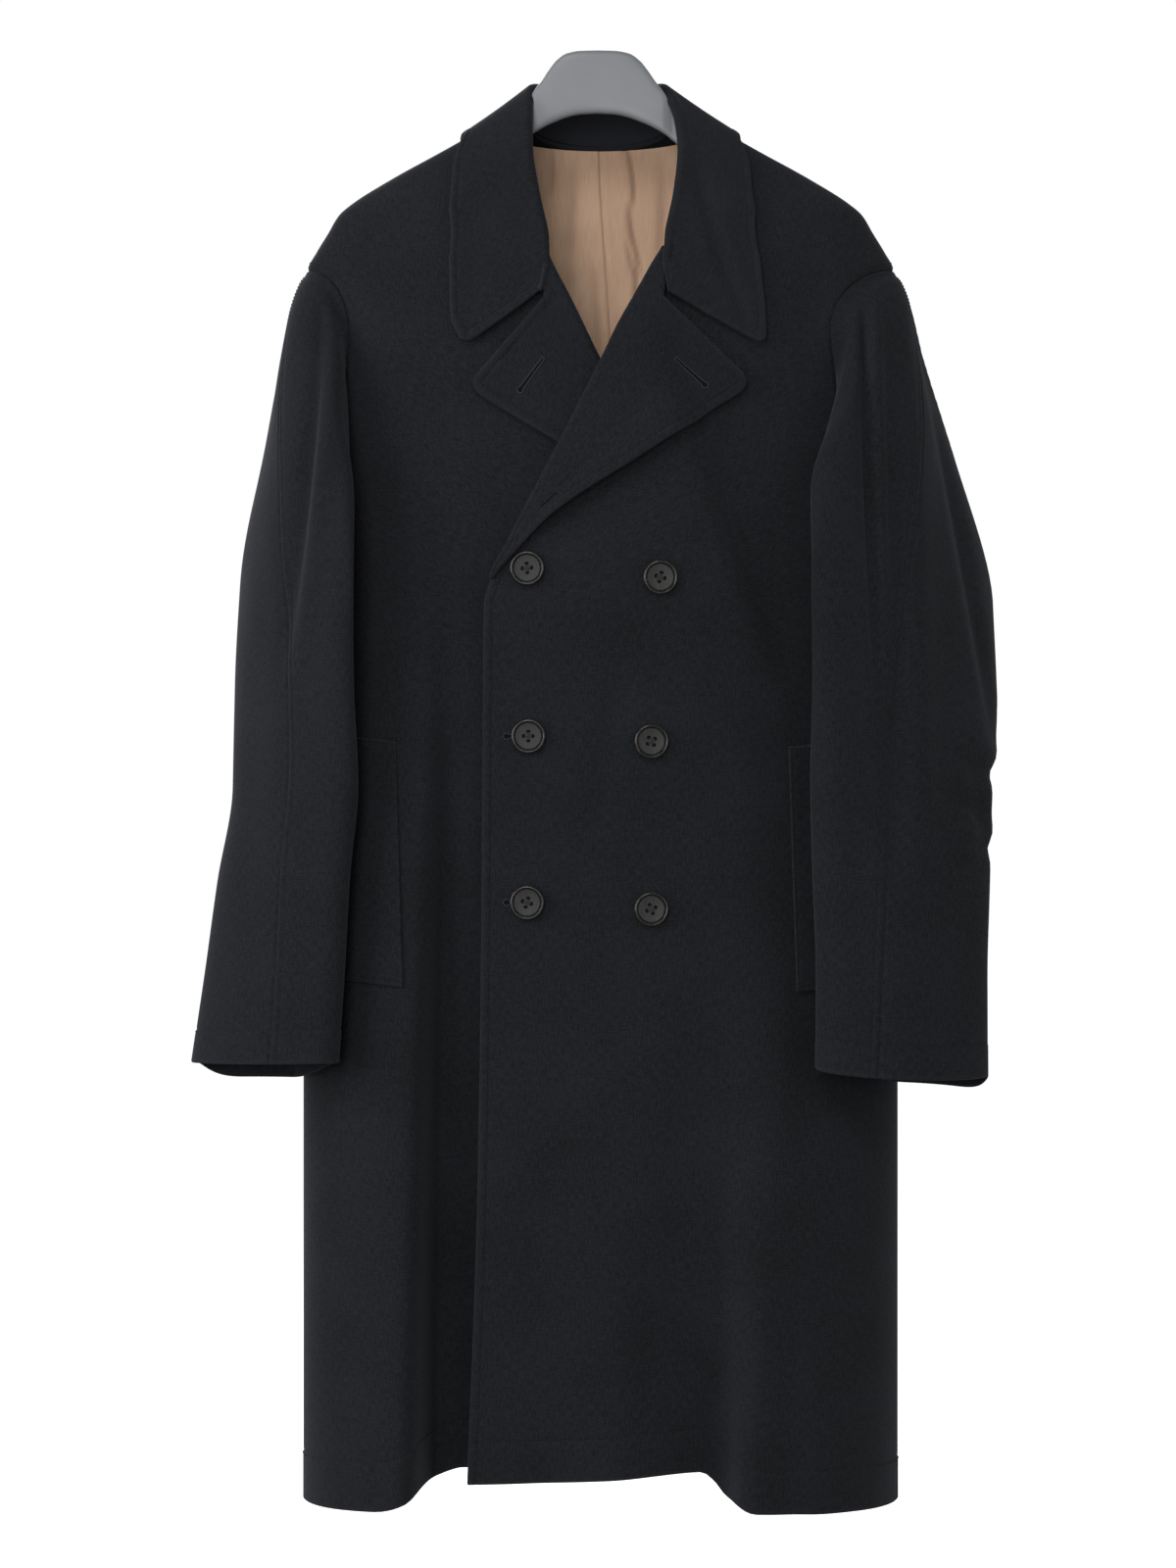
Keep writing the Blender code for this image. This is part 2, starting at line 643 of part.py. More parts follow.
def sleeve_grid(side):
    """Return outer and inner points of a sleeve, closed round, from its armhole seam to its cuff."""
    sign = SIDE_SIGN[side]
    seam, seam_normals, into = armhole_seam(side)
    share = upper_shares()
    angle = np.pi * np.concatenate([share, 2 - share[-2:0:-1]])
    rings = [seam]
    for ring in SLEEVE_RINGS[side]:
        twist = math.radians(ring.turn)
        place = angle + math.radians(ring.seam_turn)
        wide = ring.wide * np.sin(place)
        thick = ring.thick * np.cos(place)
        out = ring.out - wide * math.sin(twist) + thick * math.cos(twist)
        y = -ring.forward - wide * math.cos(twist) - thick * math.sin(twist)
        z = -ring.drop + ring.tilt * np.cos(angle) + ring.front_rise * np.sin(place)
        hanging = np.stack([sign * out, y, z], axis=-1)
        rings.append(between(hanging, seam, ring.armhole_share))
    clearance = SLEEVE_CLEARANCE * ramp(CLEARANCE_START, CLEARANCE_FULL, np.arange(len(rings)))[:, None]
    outer = clear_of_body(np.stack(rings), front_layer(side), clearance)
    around = np.roll(outer, -1, axis=1) - np.roll(outer, 1, axis=1)
    normals = unit(np.cross(np.gradient(outer, axis=0), around))
    normals = normals * np.sign(np.sum(normals[-1] * (outer[-1] - outer[-1].mean(axis=0))))
    outer[0] = seam
    normals[0] = seam_normals
    inner = outer - CLOTH * normals
    under = np.sin(angle / 2)[:, None] ** UNDERARM_FADE
    seam_gap = SLEEVE_SEAM * into + UNDERARM_GAP * under * seam_normals
    outer[0] += seam_gap
    inner[0] += seam_gap
    return outer, inner


def add_sleeve(side, collection):
    """Make a sleeve in two halves, seamed down the overarm and under the arm."""
    walls = sleeve_grid(side)
    around = np.arange(2 * UPPER_ROWS + 1) % (2 * UPPER_ROWS)
    halves = {"fore": around[:UPPER_ROWS + 1], "hind": around[UPPER_ROWS:]}
    for face, columns in halves.items():
        outer, inner = (pull_back(wall[:, columns], columns=(0, -1)) for wall in walls)
        add_wall(f"sleeve_{side}_{face}", outer, inner, "black_wool", collection)


def collar_seam(side):
    """Return stations down one half of the neckline, with the middle of the panels' edge at each."""
    neck_out, neck_drop = neck_line()
    neck_turn = np.pi - turn_at(neck_out, neck_drop)
    back_place = -1 + np.linspace(0, 1, NECK_COLUMNS + 1)
    back_points = body_points(neck_turn, neck_drop, "back")
    back_points = back_points - CLOTH / 2 * body_normals(neck_turn, neck_drop, "back")
    turn, drop = front_grid(side)
    rows = np.flatnonzero(drop[:, 0] <= GORGE_DROP)[1:]
    front_turn = np.abs(turn[rows, 0])
    front_drop = drop[rows, 0]
    front_place = (front_drop - NECK_DROP) / (front_drop[-1] - NECK_DROP)
    front_points = body_points(front_turn, front_drop, "under")
    front_points = front_points - CLOTH / 2 * body_normals(front_turn, front_drop, "under")
    return np.concatenate([back_place, front_place]), np.concatenate([back_points, front_points])


def collar_edge(side, place):
    """Return the leaf's outer edge, which lies on the shoulders at its own height."""
    drops = column(COLLAR, "edge_drop")
    turns = turn_at(column(COLLAR, "edge_" + side), drops)
    turns = np.where(column(COLLAR, "place") < 0, np.pi - turns, turns)
    turn = smooth(column(COLLAR, "place"), turns, place)
    drop = smooth(column(COLLAR, "place"), drops, place)
    height = read(COLLAR, "place", "height", place)[:, None]
    return body_points(turn, drop, "under") + height * body_normals(turn, drop, "under")


def collar_fold(side, place):
    """Return the line along which the collar folds over."""
    names = ("fold_" + side, "fold_y", "fold_z")
    return np.stack([read(COLLAR, "place", name, place) for name in names], axis=-1)


def square_to(vectors, along):
    """Return the directions of vectors without their part along another direction."""
    return unit(vectors - np.sum(vectors * along, axis=-1, keepdims=True) * along)


def collar_frame(side, place):
    """Return the neck seam, the roll's centre, its two directions and the leaf's edge at stations."""
    seam_place, seam_points = collar_seam(side)
    seam = np.stack([np.interp(place, seam_place, seam_points[:, axis]) for axis in range(3)], axis=-1)
    fold = collar_fold(side, place)
    along = unit(collar_fold(side, place + FOLD_STEP) - collar_fold(side, place - FOLD_STEP))
    edge = collar_edge(side, place)
    to_seam = square_to(seam - fold, along)
    to_seam[place > 1] = to_seam[place <= 1][-1]
    to_edge = square_to(edge - fold, along)
    apex = -unit(to_seam + to_edge)
    aside = unit(to_edge - np.sum(to_edge * apex, axis=-1, keepdims=True) * apex)
    return seam, fold - COLLAR_ROLL * apex, apex, aside, edge


def collar_stand(side):
    """Return the middle of half the stand, which runs from the neck seam up to the collar's roll."""
    place, _ = collar_seam(side)
    place = np.sort(np.concatenate([place, (place[1:] + place[:-1]) / 2]))
    place = place[place < STAND_END]
    seam, centre, _, aside, _ = collar_frame(side, place)
    top = centre - COLLAR_ROLL * aside
    rise = unit(top - seam)
    start = seam + STAND_FOOT_GAP * rise
    end = top - STAND_TOP_GAP * rise
    return between(start[:, None], end[:, None], np.linspace(0, 1, STAND_ROWS + 1)[:, None])


def collar_leaf(side):
    """Return the middle of half the leaf, which rolls over the stand and falls to its edge."""
    last = COLLAR[-1].place
    place = np.concatenate([np.linspace(-1, 1, 2 * LEAF_STATIONS + 1), [COLLAR[-2].place, last]])
    _, centre, apex, aside, edge = collar_frame(side, place)
    curl = ramp(COLLAR[-4].place, last, place)
    first = between(-LEAF_ROLL_START, LEAF_GORGE_START, curl)
    sweep = np.linspace(0, 1, COLLAR_ARC_STEPS + 1)
    angle = np.radians(between(first[:, None], 90, sweep))[..., None]
    arc = centre[:, None] + COLLAR_ROLL * (np.cos(angle) * apex[:, None] + np.sin(angle) * aside[:, None])
    share = np.linspace(0, 1, COLLAR_FALL_STEPS + 1)[1:, None]
    bulge = COLLAR_BULGE * np.sin(np.pi * share) * aside[:, None]
    fall = between(arc[:, -1:], edge[:, None], share) + bulge
    return np.concatenate([arc, fall], axis=1)


def both_halves(right, left):
    """Join the right and left halves of a symmetric strip at the centre back."""
    mirrored = right * np.array([-1.0, 1.0, 1.0])
    return np.concatenate([mirrored[:0:-1], left])


def add_collar(collection):
    """Make the collar's stand round the neck and the leaf that folds down over it."""
    stand = both_halves(collar_stand("right"), collar_stand("left"))
    leaf = both_halves(collar_leaf("right"), collar_leaf("left"))
    add_sheet("collar_stand", stand, STAND_CLOTH, "black_wool", collection)
    add_sheet("collar_leaf", leaf, COLLAR_CLOTH, "black_wool", collection)


def lapel_lines(side):
    """Return out and drop along the roll line and along rows from it to the lapel's edge."""
    _, drop = front_grid(side)
    edge_drop = drop[:, 0]
    roll_drop = edge_drop[(edge_drop > GORGE_DROP) & (edge_drop < BREAK_DROP)]
    share = (roll_drop - roll_drop[0]) / (roll_drop[-1] - roll_drop[0])
    end_out = read(LAPEL_EDGE, "share", "out_" + side, share)
    end_drop = read(LAPEL_EDGE, "share", "drop_" + side, share)
    across = np.linspace(0, 1, LAPEL_FLAT_STEPS + 1)
    start_out = panel_edge(roll_drop)
    start_drop = roll_drop + LAPEL_GAP * (1 - share) ** NOTCH_FADE
    out = between(start_out[:, None], end_out[:, None], across)
    level = between(start_drop[:, None], end_drop[:, None], across)
    notch_out, notch_drop = LAPEL_NOTCH[side]
    tent = np.minimum(across / NOTCH_SHARE, (1 - across) / (1 - NOTCH_SHARE))
    weight = ((1 - share) ** NOTCH_FADE)[:, None] * tent
    out = out + weight * (notch_out - between(start_out[0], end_out[0], NOTCH_SHARE))
    level = level + weight * (notch_drop + LAPEL_GAP - between(start_drop[0], end_drop[0], NOTCH_SHARE))
    return out, level


def add_lapel(side, collection):
    """Make a lapel: it rolls out from the front's edge and lies back over the front."""
    sign = SIDE_SIGN[side]
    layer = front_layer(side)
    out, drop = lapel_lines(side)
    turn = sign * turn_at(out, drop)
    normals = body_normals(turn, drop, layer)
    surface = body_points(turn, drop, layer) - CLOTH / 2 * normals
    across = np.linspace(0, 1, out.shape[1])[None, :, None]
    flat = surface + normals * 2 * LAPEL_ROLL
    outward = unit(np.cross(normals[:, 0], np.gradient(surface[:, 0], axis=0)))
    outward = outward * np.sign(np.sum(outward * (surface[:, 1] - surface[:, 0])))
    angle = np.linspace(-np.pi / 2, np.pi / 2, LAPEL_ARC_STEPS + 1)[None, :, None]
    hinge = surface[:, :1] + LAPEL_ROLL * normals[:, :1] - LAPEL_GAP * outward[:, None]
    arc = hinge + LAPEL_ROLL * (np.sin(angle) * normals[:, :1] - np.cos(angle) * outward[:, None])
    flat = flat + LAPEL_LIFT[side] * np.sin(np.pi * across) * normals
    middle = np.concatenate([arc, flat[:, 1:]], axis=1)
    add_sheet("lapel_" + side, middle, LAPEL_CLOTH, "black_wool", collection)


def add_welt(welt, collection):
    """Make a pocket welt from its front's own points, moved out by its thickness."""
    sign = SIDE_SIGN[welt.side]
    layer = front_layer(welt.side)
    down = np.linspace(0, 1, WELT_ROWS + 1)[:, None]
    across = np.linspace(0, 1, WELT_COLUMNS + 1)
    out = between(welt.top_in, welt.bottom_in, down) + welt.width * across
    drop = between(welt.top_drop, welt.bottom_drop, down) + 0 * across
    turn = sign * turn_at(out, drop)
    points = body_points(turn, drop, layer)
    normals = body_normals(turn, drop, layer)
    near = points + welt.gap * normals
    far = near + WELT_CLOTH * normals
    add_wall("pocket_welt_" + welt.side, far, near, "black_wool", collection)


def button_mesh():
    """Return a turned button with a raised rim, a dished face and four thread holes."""
    line = bpy.data.meshes.new("button_profile")
    corners = [(row.radius * MM, 0, row.height * MM) for row in BUTTON_PROFILE]
    line.from_pydata(corners, [(place, place + 1) for place in range(len(corners) - 1)], [])
    turned = bpy.data.objects.new("button_blank", line)
    bpy.context.scene.collection.objects.link(turned)
    screw = turned.modifiers.new("turn", "SCREW")
    screw.steps = BUTTON_SIDES
    screw.render_steps = BUTTON_SIDES
    screw.use_merge_vertices = True
    screw.merge_threshold = WELD
    evaluated = turned.evaluated_get(bpy.context.evaluated_depsgraph_get())
    mesh = bpy.data.meshes.new_from_object(evaluated)
    bpy.data.objects.remove(turned)
    shape = bmesh.new()
    shape.from_mesh(mesh)
    bmesh.ops.remove_doubles(shape, verts=shape.verts, dist=WELD)
    bmesh.ops.recalc_face_normals(shape, faces=shape.faces)
    shape.to_mesh(mesh)
    shape.free()
    return mesh


def hole_cutter(collection):
    """Return the four thread holes of a button as one cutter."""
    shape = bmesh.new()
    for quarter in range(4):
        angle = math.radians(45 + 90 * quarter)
        made = bmesh.ops.create_cone(
            shape, cap_ends=True, segments=HOLE_SIDES, radius1=HOLE_RADIUS * MM, radius2=HOLE_RADIUS * MM,
            depth=HOLE_DEPTH * MM)
        place = Vector((math.cos(angle), math.sin(angle), 0)) * HOLE_SPACING * MM
        bmesh.ops.translate(shape, verts=made["verts"], vec=place)
    mesh = bpy.data.meshes.new("button_holes")
    shape.to_mesh(mesh)
    shape.free()
    cutter = bpy.data.objects.new("button_holes", mesh)
    cutter.hide_render = True
    cutter.display_type = "WIRE"
    collection.objects.link(cutter)
    return cutter


def add_buttons(collection, cutters):
    """Make the six buttons, each just clear of the overlapping front."""
    blank = button_mesh()
    for place in BUTTONS:
        turn = turn_at(np.array(float(place.x)), np.array(float(place.drop)))
        drop = np.array(float(place.drop))
        normal = body_normals(turn, drop, "over")
        seat = body_points(turn, drop, "over") + BUTTON_SHANK * normal
        button = add_object(place.name, blank.copy(), "black_horn", collection)
        cutter = hole_cutter(cutters)
        for piece in (button, cutter):
            piece.location = Vector(seat * MM)
            piece.rotation_euler = Vector(normal).to_track_quat("Z", "Y").to_euler()
        holes = button.modifiers.new("thread holes", "BOOLEAN")
        holes.operation = "DIFFERENCE"
        holes.solver = "EXACT"
        holes.object = cutter


def add_hanger(collection):
    """Make the hanger as one loft of rounded sections from end to end."""
    out = np.concatenate([-column(HANGER, "out")[:0:-1], column(HANGER, "out")])
    around = np.arange(HANGER_SIDES) * 2 * np.pi / HANGER_SIDES
    swing = np.sign(np.cos(around)) * np.abs(np.cos(around)) ** HANGER_ROUND
    rise = np.sign(np.sin(around)) * np.abs(np.sin(around)) ** HANGER_ROUND
    sized = {name: np.concatenate([column(HANGER, name)[:0:-1], column(HANGER, name)])[:, None]
             for name in ("top", "bottom", "half_depth")}
    y = sized["half_depth"] * swing
    z = (sized["top"] + sized["bottom"]) / 2 + (sized["top"] - sized["bottom"]) / 2 * rise
    points = np.stack([out[:, None] + 0 * y, y, z], axis=-1)
    stations = len(out)
    number = np.arange(stations * HANGER_SIDES).reshape(stations, HANGER_SIDES)
    following = np.roll(number, -1, axis=1)
    skin = np.stack([number[:-1], following[:-1], following[1:], number[1:]], axis=-1).reshape(-1, 4).tolist()
    ends = [number[0].tolist(), number[-1].tolist()]
    mesh = loft_mesh("hanger", points, skin + ends)
    add_object("hanger", mesh, "grey_plastic", collection)


def new_collection(name):
    """Return a new collection in the scene."""
    collection = bpy.data.collections.new(name)
    bpy.context.scene.collection.children.link(collection)
    return collection


def main():
    """Clear the scene and make the coat and its hanger."""
    for old in list(bpy.data.objects):
        bpy.data.objects.remove(old)
    coat = new_collection("overcoat_on_hanger")
    cutters = new_collection("cutters")
    add_hanger(coat)
    add_back(coat)
    for side in ("right", "left"):
        add_front(side, coat)
        add_lapel(side, coat)
        add_sleeve(side, coat)
    add_collar(coat)
    for welt in WELTS:
        add_welt(welt, coat)
    add_buttons(coat, cutters)


main()
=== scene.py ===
"""Dressed look of a black double-breasted wool overcoat that hangs closed on a broad grey hanger.

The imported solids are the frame. Each sewn piece is worked out again on a finer grid from the same sizes, with
its creases, turned edges, seams and stitches, and stands for its solid. Sizes are millimetres until a mesh is
made. +X is the wearer's left, -Y the coat's front and +Z up; a drop is a distance below the hanger's top.
"""

import logging
import math
from collections.abc import Callable, Sequence
from dataclasses import dataclass, field
from enum import Enum
from functools import partial

import bpy
import numpy as np
from bpy.types import Material, Node, NodeSocket, NodeTree, Object
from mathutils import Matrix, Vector


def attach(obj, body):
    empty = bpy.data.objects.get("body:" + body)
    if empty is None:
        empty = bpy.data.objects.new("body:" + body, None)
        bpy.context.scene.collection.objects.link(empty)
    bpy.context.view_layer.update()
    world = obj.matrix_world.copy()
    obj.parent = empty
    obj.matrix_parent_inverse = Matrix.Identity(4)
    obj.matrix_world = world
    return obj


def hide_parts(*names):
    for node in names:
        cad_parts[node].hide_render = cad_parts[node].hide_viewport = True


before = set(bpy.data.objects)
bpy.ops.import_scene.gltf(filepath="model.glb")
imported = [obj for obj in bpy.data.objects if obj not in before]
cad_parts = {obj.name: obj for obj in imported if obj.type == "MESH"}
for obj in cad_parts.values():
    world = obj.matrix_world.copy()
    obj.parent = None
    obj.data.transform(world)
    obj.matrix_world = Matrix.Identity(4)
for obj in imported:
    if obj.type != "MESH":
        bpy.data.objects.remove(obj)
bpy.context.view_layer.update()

Array = np.ndarray
Line = tuple[Array, Array]
MM = 0.001
BODY = "root"
CLOTH_MAP = "cloth"
# Per-vertex share that the materials mix by: wear on the wool's edges and hems, painted light on the collar stand,
# painted shade on the lining and the satin face of a button.
WEAR_LIGHT_SATIN_ATTRIBUTE = "wear_painted_light_satin"
FINE_STEPS = 241
FORWARD = np.array([0.0, -1.0, 0.0])
UP = np.array([0.0, 0.0, 1.0])
log = logging.getLogger("overcoat")


class Layer(Enum):
    """A layer of the coat's body."""

    UNDER = "under"
    OVER = "over"
    BACK = "back"


class Side(Enum):
    """A side of the coat, as its wearer names it."""

    RIGHT = "right"
    LEFT = "left"

    @property
    def sign(self) -> float:
        """Return +1 on the wearer's left and -1 on the right."""
        return 1.0 if self is Side.LEFT else -1.0

    @property
    def layer(self) -> Layer:
        """Return the layer of this side's front: the left front lies over the right."""
        return Layer.OVER if self is Side.LEFT else Layer.UNDER


class Face(Enum):
    """The half of a sleeve or armhole: towards the front or towards the back."""

    FORE = "fore"
    HIND = "hind"


class Cloth(Enum):
    """A cloth of the coat, by the record's slot."""

    WOOL = "black_wool"
    LINING = "tan_lining"


def smooth(places: Sequence[float], values: Array, at: Array) -> Array:
    """Read a curve through points that never overshoots them.

    Each span is a cubic. Its end slopes are the harmonic means of the slopes on both sides, or zero where the
    values turn back.

    Args:
        places: rising places of the points.
        values: a value, or an array of values, at each place.
        at: places to read.

    Returns:
        The values at those places.
    """
    places, values, at = (np.asarray(item, float) for item in (places, values, at))
    tail = (1,) * (values.ndim - 1)
    spans = np.diff(places).reshape(-1, *tail)
    slopes = np.diff(values, axis=0) / spans
    product = slopes[:-1] * slopes[1:]
    total = np.where(product > 0, slopes[:-1] + slopes[1:], 1.0)
    ends = np.concatenate([slopes[:1], np.where(product > 0, 2 * product / total, 0.0), slopes[-1:]])
    at = np.clip(at, places[0], places[-1])
    span = np.clip(np.searchsorted(places, at) - 1, 0, len(places) - 2)
    share = ((at - places[span]) / (places[span + 1] - places[span])).reshape(at.shape + tail)
    rest = 1 - share
    rise = values[span] * rest**2 * (1 + 2 * share) + values[span + 1] * share**2 * (3 - 2 * share)
    return rise + spans[span] * share * rest * (ends[span] * rest - ends[span + 1] * share)


def ramp(low: float, high: float, at: Array) -> Array:
    """Return a soft step from 0 at low to 1 at high, the cubic 3s^2 - 2s^3."""
    share = np.clip((np.asarray(at, float) - low) / (high - low), 0, 1)
    return share * share * (3 - 2 * share)


def step(distance: Array, softness: Array | float) -> Array:
    """Return a soft step from 0 to 1 across a line, a hyperbolic tangent of the distance past it."""
    return 0.5 * (1 + np.tanh(distance / softness))


def bell(distance: Array, width: float) -> Array:
    """Return a bell of height one, exp(-(distance / width)^2)."""
    return np.exp(-((distance / width) ** 2))


def unit(vectors: Array) -> Array:
    """Return the vectors at length one."""
    return vectors / np.maximum(np.linalg.norm(vectors, axis=-1, keepdims=True), 1e-12)


def between(start: Array, end: Array, share: Array) -> Array:
    """Return the point that lies a share of the way from start to end."""
    return start + (end - start) * share


def square_to(vectors: Array, along: Array) -> Array:
    """Return the directions of vectors without their part along another direction."""
    return unit(vectors - np.sum(vectors * along, axis=-1, keepdims=True) * along)


def lengths(points: Array) -> Array:
    """Return the distance along each row of a grid from its first point."""
    steps = np.linalg.norm(np.diff(points, axis=1), axis=-1)
    return np.concatenate([np.zeros((len(points), 1)), np.cumsum(steps, axis=1)], axis=1)


def depths(points: Array) -> Array:
    """Return the distance down each column of a grid from its first point."""
    return lengths(points.transpose(1, 0, 2)).T


def read_line(at: Array | float, run: Array, points: Array) -> Array:
    """Return the points at places along a line, straight between the points that are given at its run."""
    return np.stack([np.interp(at, run, axis) for axis in points.T], axis=-1)


def distance_to(points: Array, line: Array) -> Array:
    """Return the distance from each point of a grid to the nearest point of a line."""
    return np.stack([np.linalg.norm(row[:, None] - line[None], axis=-1).min(axis=1) for row in points])


def spaced(width: Array, near: Sequence[float], far: Sequence[float], count: int) -> Array:
    """Return column distances along rows: set ones in from each end, and even steps between them.

    Args:
        width: length of each row, as a column.
        near: distances from the start.
        far: distances from the end.
        count: columns in between.

    Returns:
        Distances from the start, a row for each width. Rows too short for the set distances shrink them.
    """
    shrink = np.minimum(1, 0.9 * width / (near[-1] + far[-1] + 1e-9))
    start = np.asarray(near) * shrink
    end = width - np.asarray(far)[::-1] * shrink
    steps = np.linspace(0, 1, count + 2)[1:-1]
    return np.concatenate([start, between(start[:, -1:], end[:, :1], steps), end], axis=1)


def paced(
    point_at: Callable[[Array], Array], span: tuple[float, float],
    near: Sequence[float], far: Sequence[float], count: int,
) -> tuple[Array, Array]:
    """Return the shares along each row that put its columns at chosen distances along the cloth.

    The row is sampled finely, its length is summed up, and the chosen distances are read back from that.

    Args:
        point_at: gives the points of all rows at shares along them.
        span: first and last share.
        near: distances from the start.
        far: distances from the end.
        count: columns in between.

    Returns:
        Shares and distances from the start, both a row for each row of the piece.
    """
    fine = between(span[0], span[1], 0.5 - 0.5 * np.cos(np.pi * np.linspace(0, 1, FINE_STEPS)))
    run = lengths(point_at(fine[None, :]))
    goals = spaced(run[:, -1:], near, far, count)
    return np.stack([np.interp(goal, row, fine) for goal, row in zip(goals, run)]), goals


def round_corner(
    middle: Array, from_edge: Array, from_end: Array, towards_end: Array | float, radius: float,
) -> Array:
    """Round the corner of a piece where its last column meets an end row.

    Shares u and v grow from 0 to 1 over the radius towards the edge and the end. They become u sqrt(1 - v^2 / 2)
    and v sqrt(1 - u^2 / 2), which turn a square into a disc, and each point moves back by the difference.

    Args:
        middle: points of the piece.
        from_edge: distance of each from the last column.
        from_end: distance of each from the end row.
        towards_end: +1 where the rows run towards that end, -1 where they run away from it.
        radius: reach of the rounding.

    Returns:
        The moved points.
    """
    u, v = (np.clip(1 - distance / radius, 0, 1)[..., None] for distance in (from_edge, from_end))
    over = unit(np.gradient(middle, axis=1))
    along = unit(np.gradient(middle, axis=0)) * towards_end
    back = u * (1 - np.sqrt(1 - v**2 / 2)) * over + v * (1 - np.sqrt(1 - u**2 / 2)) * along
    return middle - radius * back


def numbered(points: Array, start: int = 0) -> Array:
    """Return the numbers of a grid's points, row by row from start."""
    return start + np.arange(points[..., 0].size).reshape(points.shape[:-1])


def quads(number: Array) -> Array:
    """Return the quads between neighbouring rows and columns of point numbers."""
    corners = [number[..., :-1, :-1], number[..., :-1, 1:], number[..., 1:, 1:], number[..., 1:, :-1]]
    return np.stack(corners, axis=-1).reshape(-1, 4)


def tube_quads(number: Array, corners: Sequence[int] = (0, 1, 2, 3)) -> Array:
    """Return the quads between neighbouring rings of point numbers, each ring closed round the last axis.

    Args:
        number: point numbers, a ring along the last axis.
        corners: order of a quad's corners, which sets the way it looks and the diagonal that splits it.

    Returns:
        The quads.
    """
    return quads(np.concatenate([number, number[..., :1]], axis=-1))[:, list(corners)]


@dataclass(frozen=True)
class Table:
    """Named columns of sizes, read along the first column."""

    names: str
    rows: tuple[tuple[float, ...], ...]

    def column(self, name: str) -> Array:
        """Return one named column."""
        return np.array(self.rows, float)[:, self.names.split().index(name)]

    def at(self, name: str, place: Array) -> Array:
        """Return a named column read at places along the first column."""
        return smooth(self.column(self.names.split()[0]), self.column(name), place)


@dataclass(frozen=True)
class Crease:
    """A soft trough, or a ridge where its depth is above zero, from one point of a panel to another."""

    from_x: float
    from_drop: float
    to_x: float
    to_drop: float
    bow: float
    width: float
    depth: float
    lip: float = 0.4
    lip_shift: float = 1.9
    lip_width: float = 1.2
    fade: float = 0.8

    def height(self, x: Array, drop: Array) -> Array:
        """Return how far the crease moves the cloth out.

        The depth times a bell of the distance from the bowed line, less a lower bell beside it, times a sine
        that fades it out at both ends.

        Args:
            x: distances across the coat.
            drop: distances down it.

        Returns:
            The heights.
        """
        run_x, run_drop = self.to_x - self.from_x, self.to_drop - self.from_drop
        length = math.hypot(run_x, run_drop)
        along = ((x - self.from_x) * run_x + (drop - self.from_drop) * run_drop) / length**2
        aside = ((x - self.from_x) * run_drop - (drop - self.from_drop) * run_x) / length
        aside = aside - self.bow * 4 * along * (1 - along)
        beside = bell(aside - self.lip_shift * self.width, self.lip_width * self.width)
        shape = bell(aside, self.width) - self.lip * beside
        return self.depth * shape * np.sin(np.pi * np.clip(along, 0, 1)) ** self.fade


@dataclass(frozen=True)
class Flute:
    """A long fold that stands out by its depth between two lines down a panel, growing towards the hem."""

    layer: Layer
    start_drop: float
    depth: float
    from_x: tuple[float, float]
    from_soft: float
    to_x: tuple[float, float]
    to_soft: float
    spread: float = 0.0

    def height(self, x: Array, drop: Array, hem: float) -> Array:
        """Return the fold's height: depth times growth times a soft step across each of its two lines.

        The steps are softer by the spread where the fold starts.

        Args:
            x: distances across the coat.
            drop: distances down it.
            hem: the drop at which the fold has its full depth.

        Returns:
            The distances outwards.
        """
        grown = np.clip((drop - self.start_drop) / (hem - self.start_drop), 0, 1)
        soft = 1 + self.spread * (1 - grown)
        risen = step(x - between(*self.from_x, grown), self.from_soft * soft)
        return self.depth * grown * risen * step(between(*self.to_x, grown) - x, self.to_soft * soft)


def linear(colour: str) -> tuple[float, float, float, float]:
    """Return a linear colour from an sRGB hex value."""
    parts = (int(colour[place:place + 2], 16) / 255 for place in (1, 3, 5))
    return (*(p / 12.92 if p <= 0.04045 else ((p + 0.055) / 1.055) ** 2.4 for p in parts), 1.0)


def set_sockets(tree: NodeTree, node: Node, sockets: dict) -> None:
    """Give a node's inputs their values and links.

    Args:
        tree: the node's tree.
        node: the node.
        sockets: by the input's name or number, a value, an output to link, or a node whose first output in use
            is linked.
    """
    for name, value in sockets.items():
        if isinstance(value, Node):
            value = next(output for output in value.outputs if output.enabled)
        if isinstance(value, NodeSocket):
            tree.links.new(value, node.inputs[name])
        else:
            node.inputs[name].default_value = value


def add_node(
    tree: NodeTree, kind: str, sockets: dict | None = None, **settings: str,
) -> Node:
    """Add a node with its settings, socket values and links.

    Args:
        tree: node tree to add to.
        kind: Blender's name of the node, without its first words.
        sockets: values and links by input.
        settings: attributes by name.

    Returns:
        The node.
    """
    node = tree.nodes.new("ShaderNode" + kind)
    for name, value in settings.items():
        setattr(node, name, value)
    set_sockets(tree, node, sockets or {})
    return node


def new_material(name: str) -> tuple[Material, NodeTree, Node]:
    """Make an empty material.

    Args:
        name: its name.

    Returns:
        The material, its node tree and its Principled shader.
    """
    material = bpy.data.materials.new(name)
    material.use_nodes = True
    return material, material.node_tree, material.node_tree.nodes["Principled BSDF"]


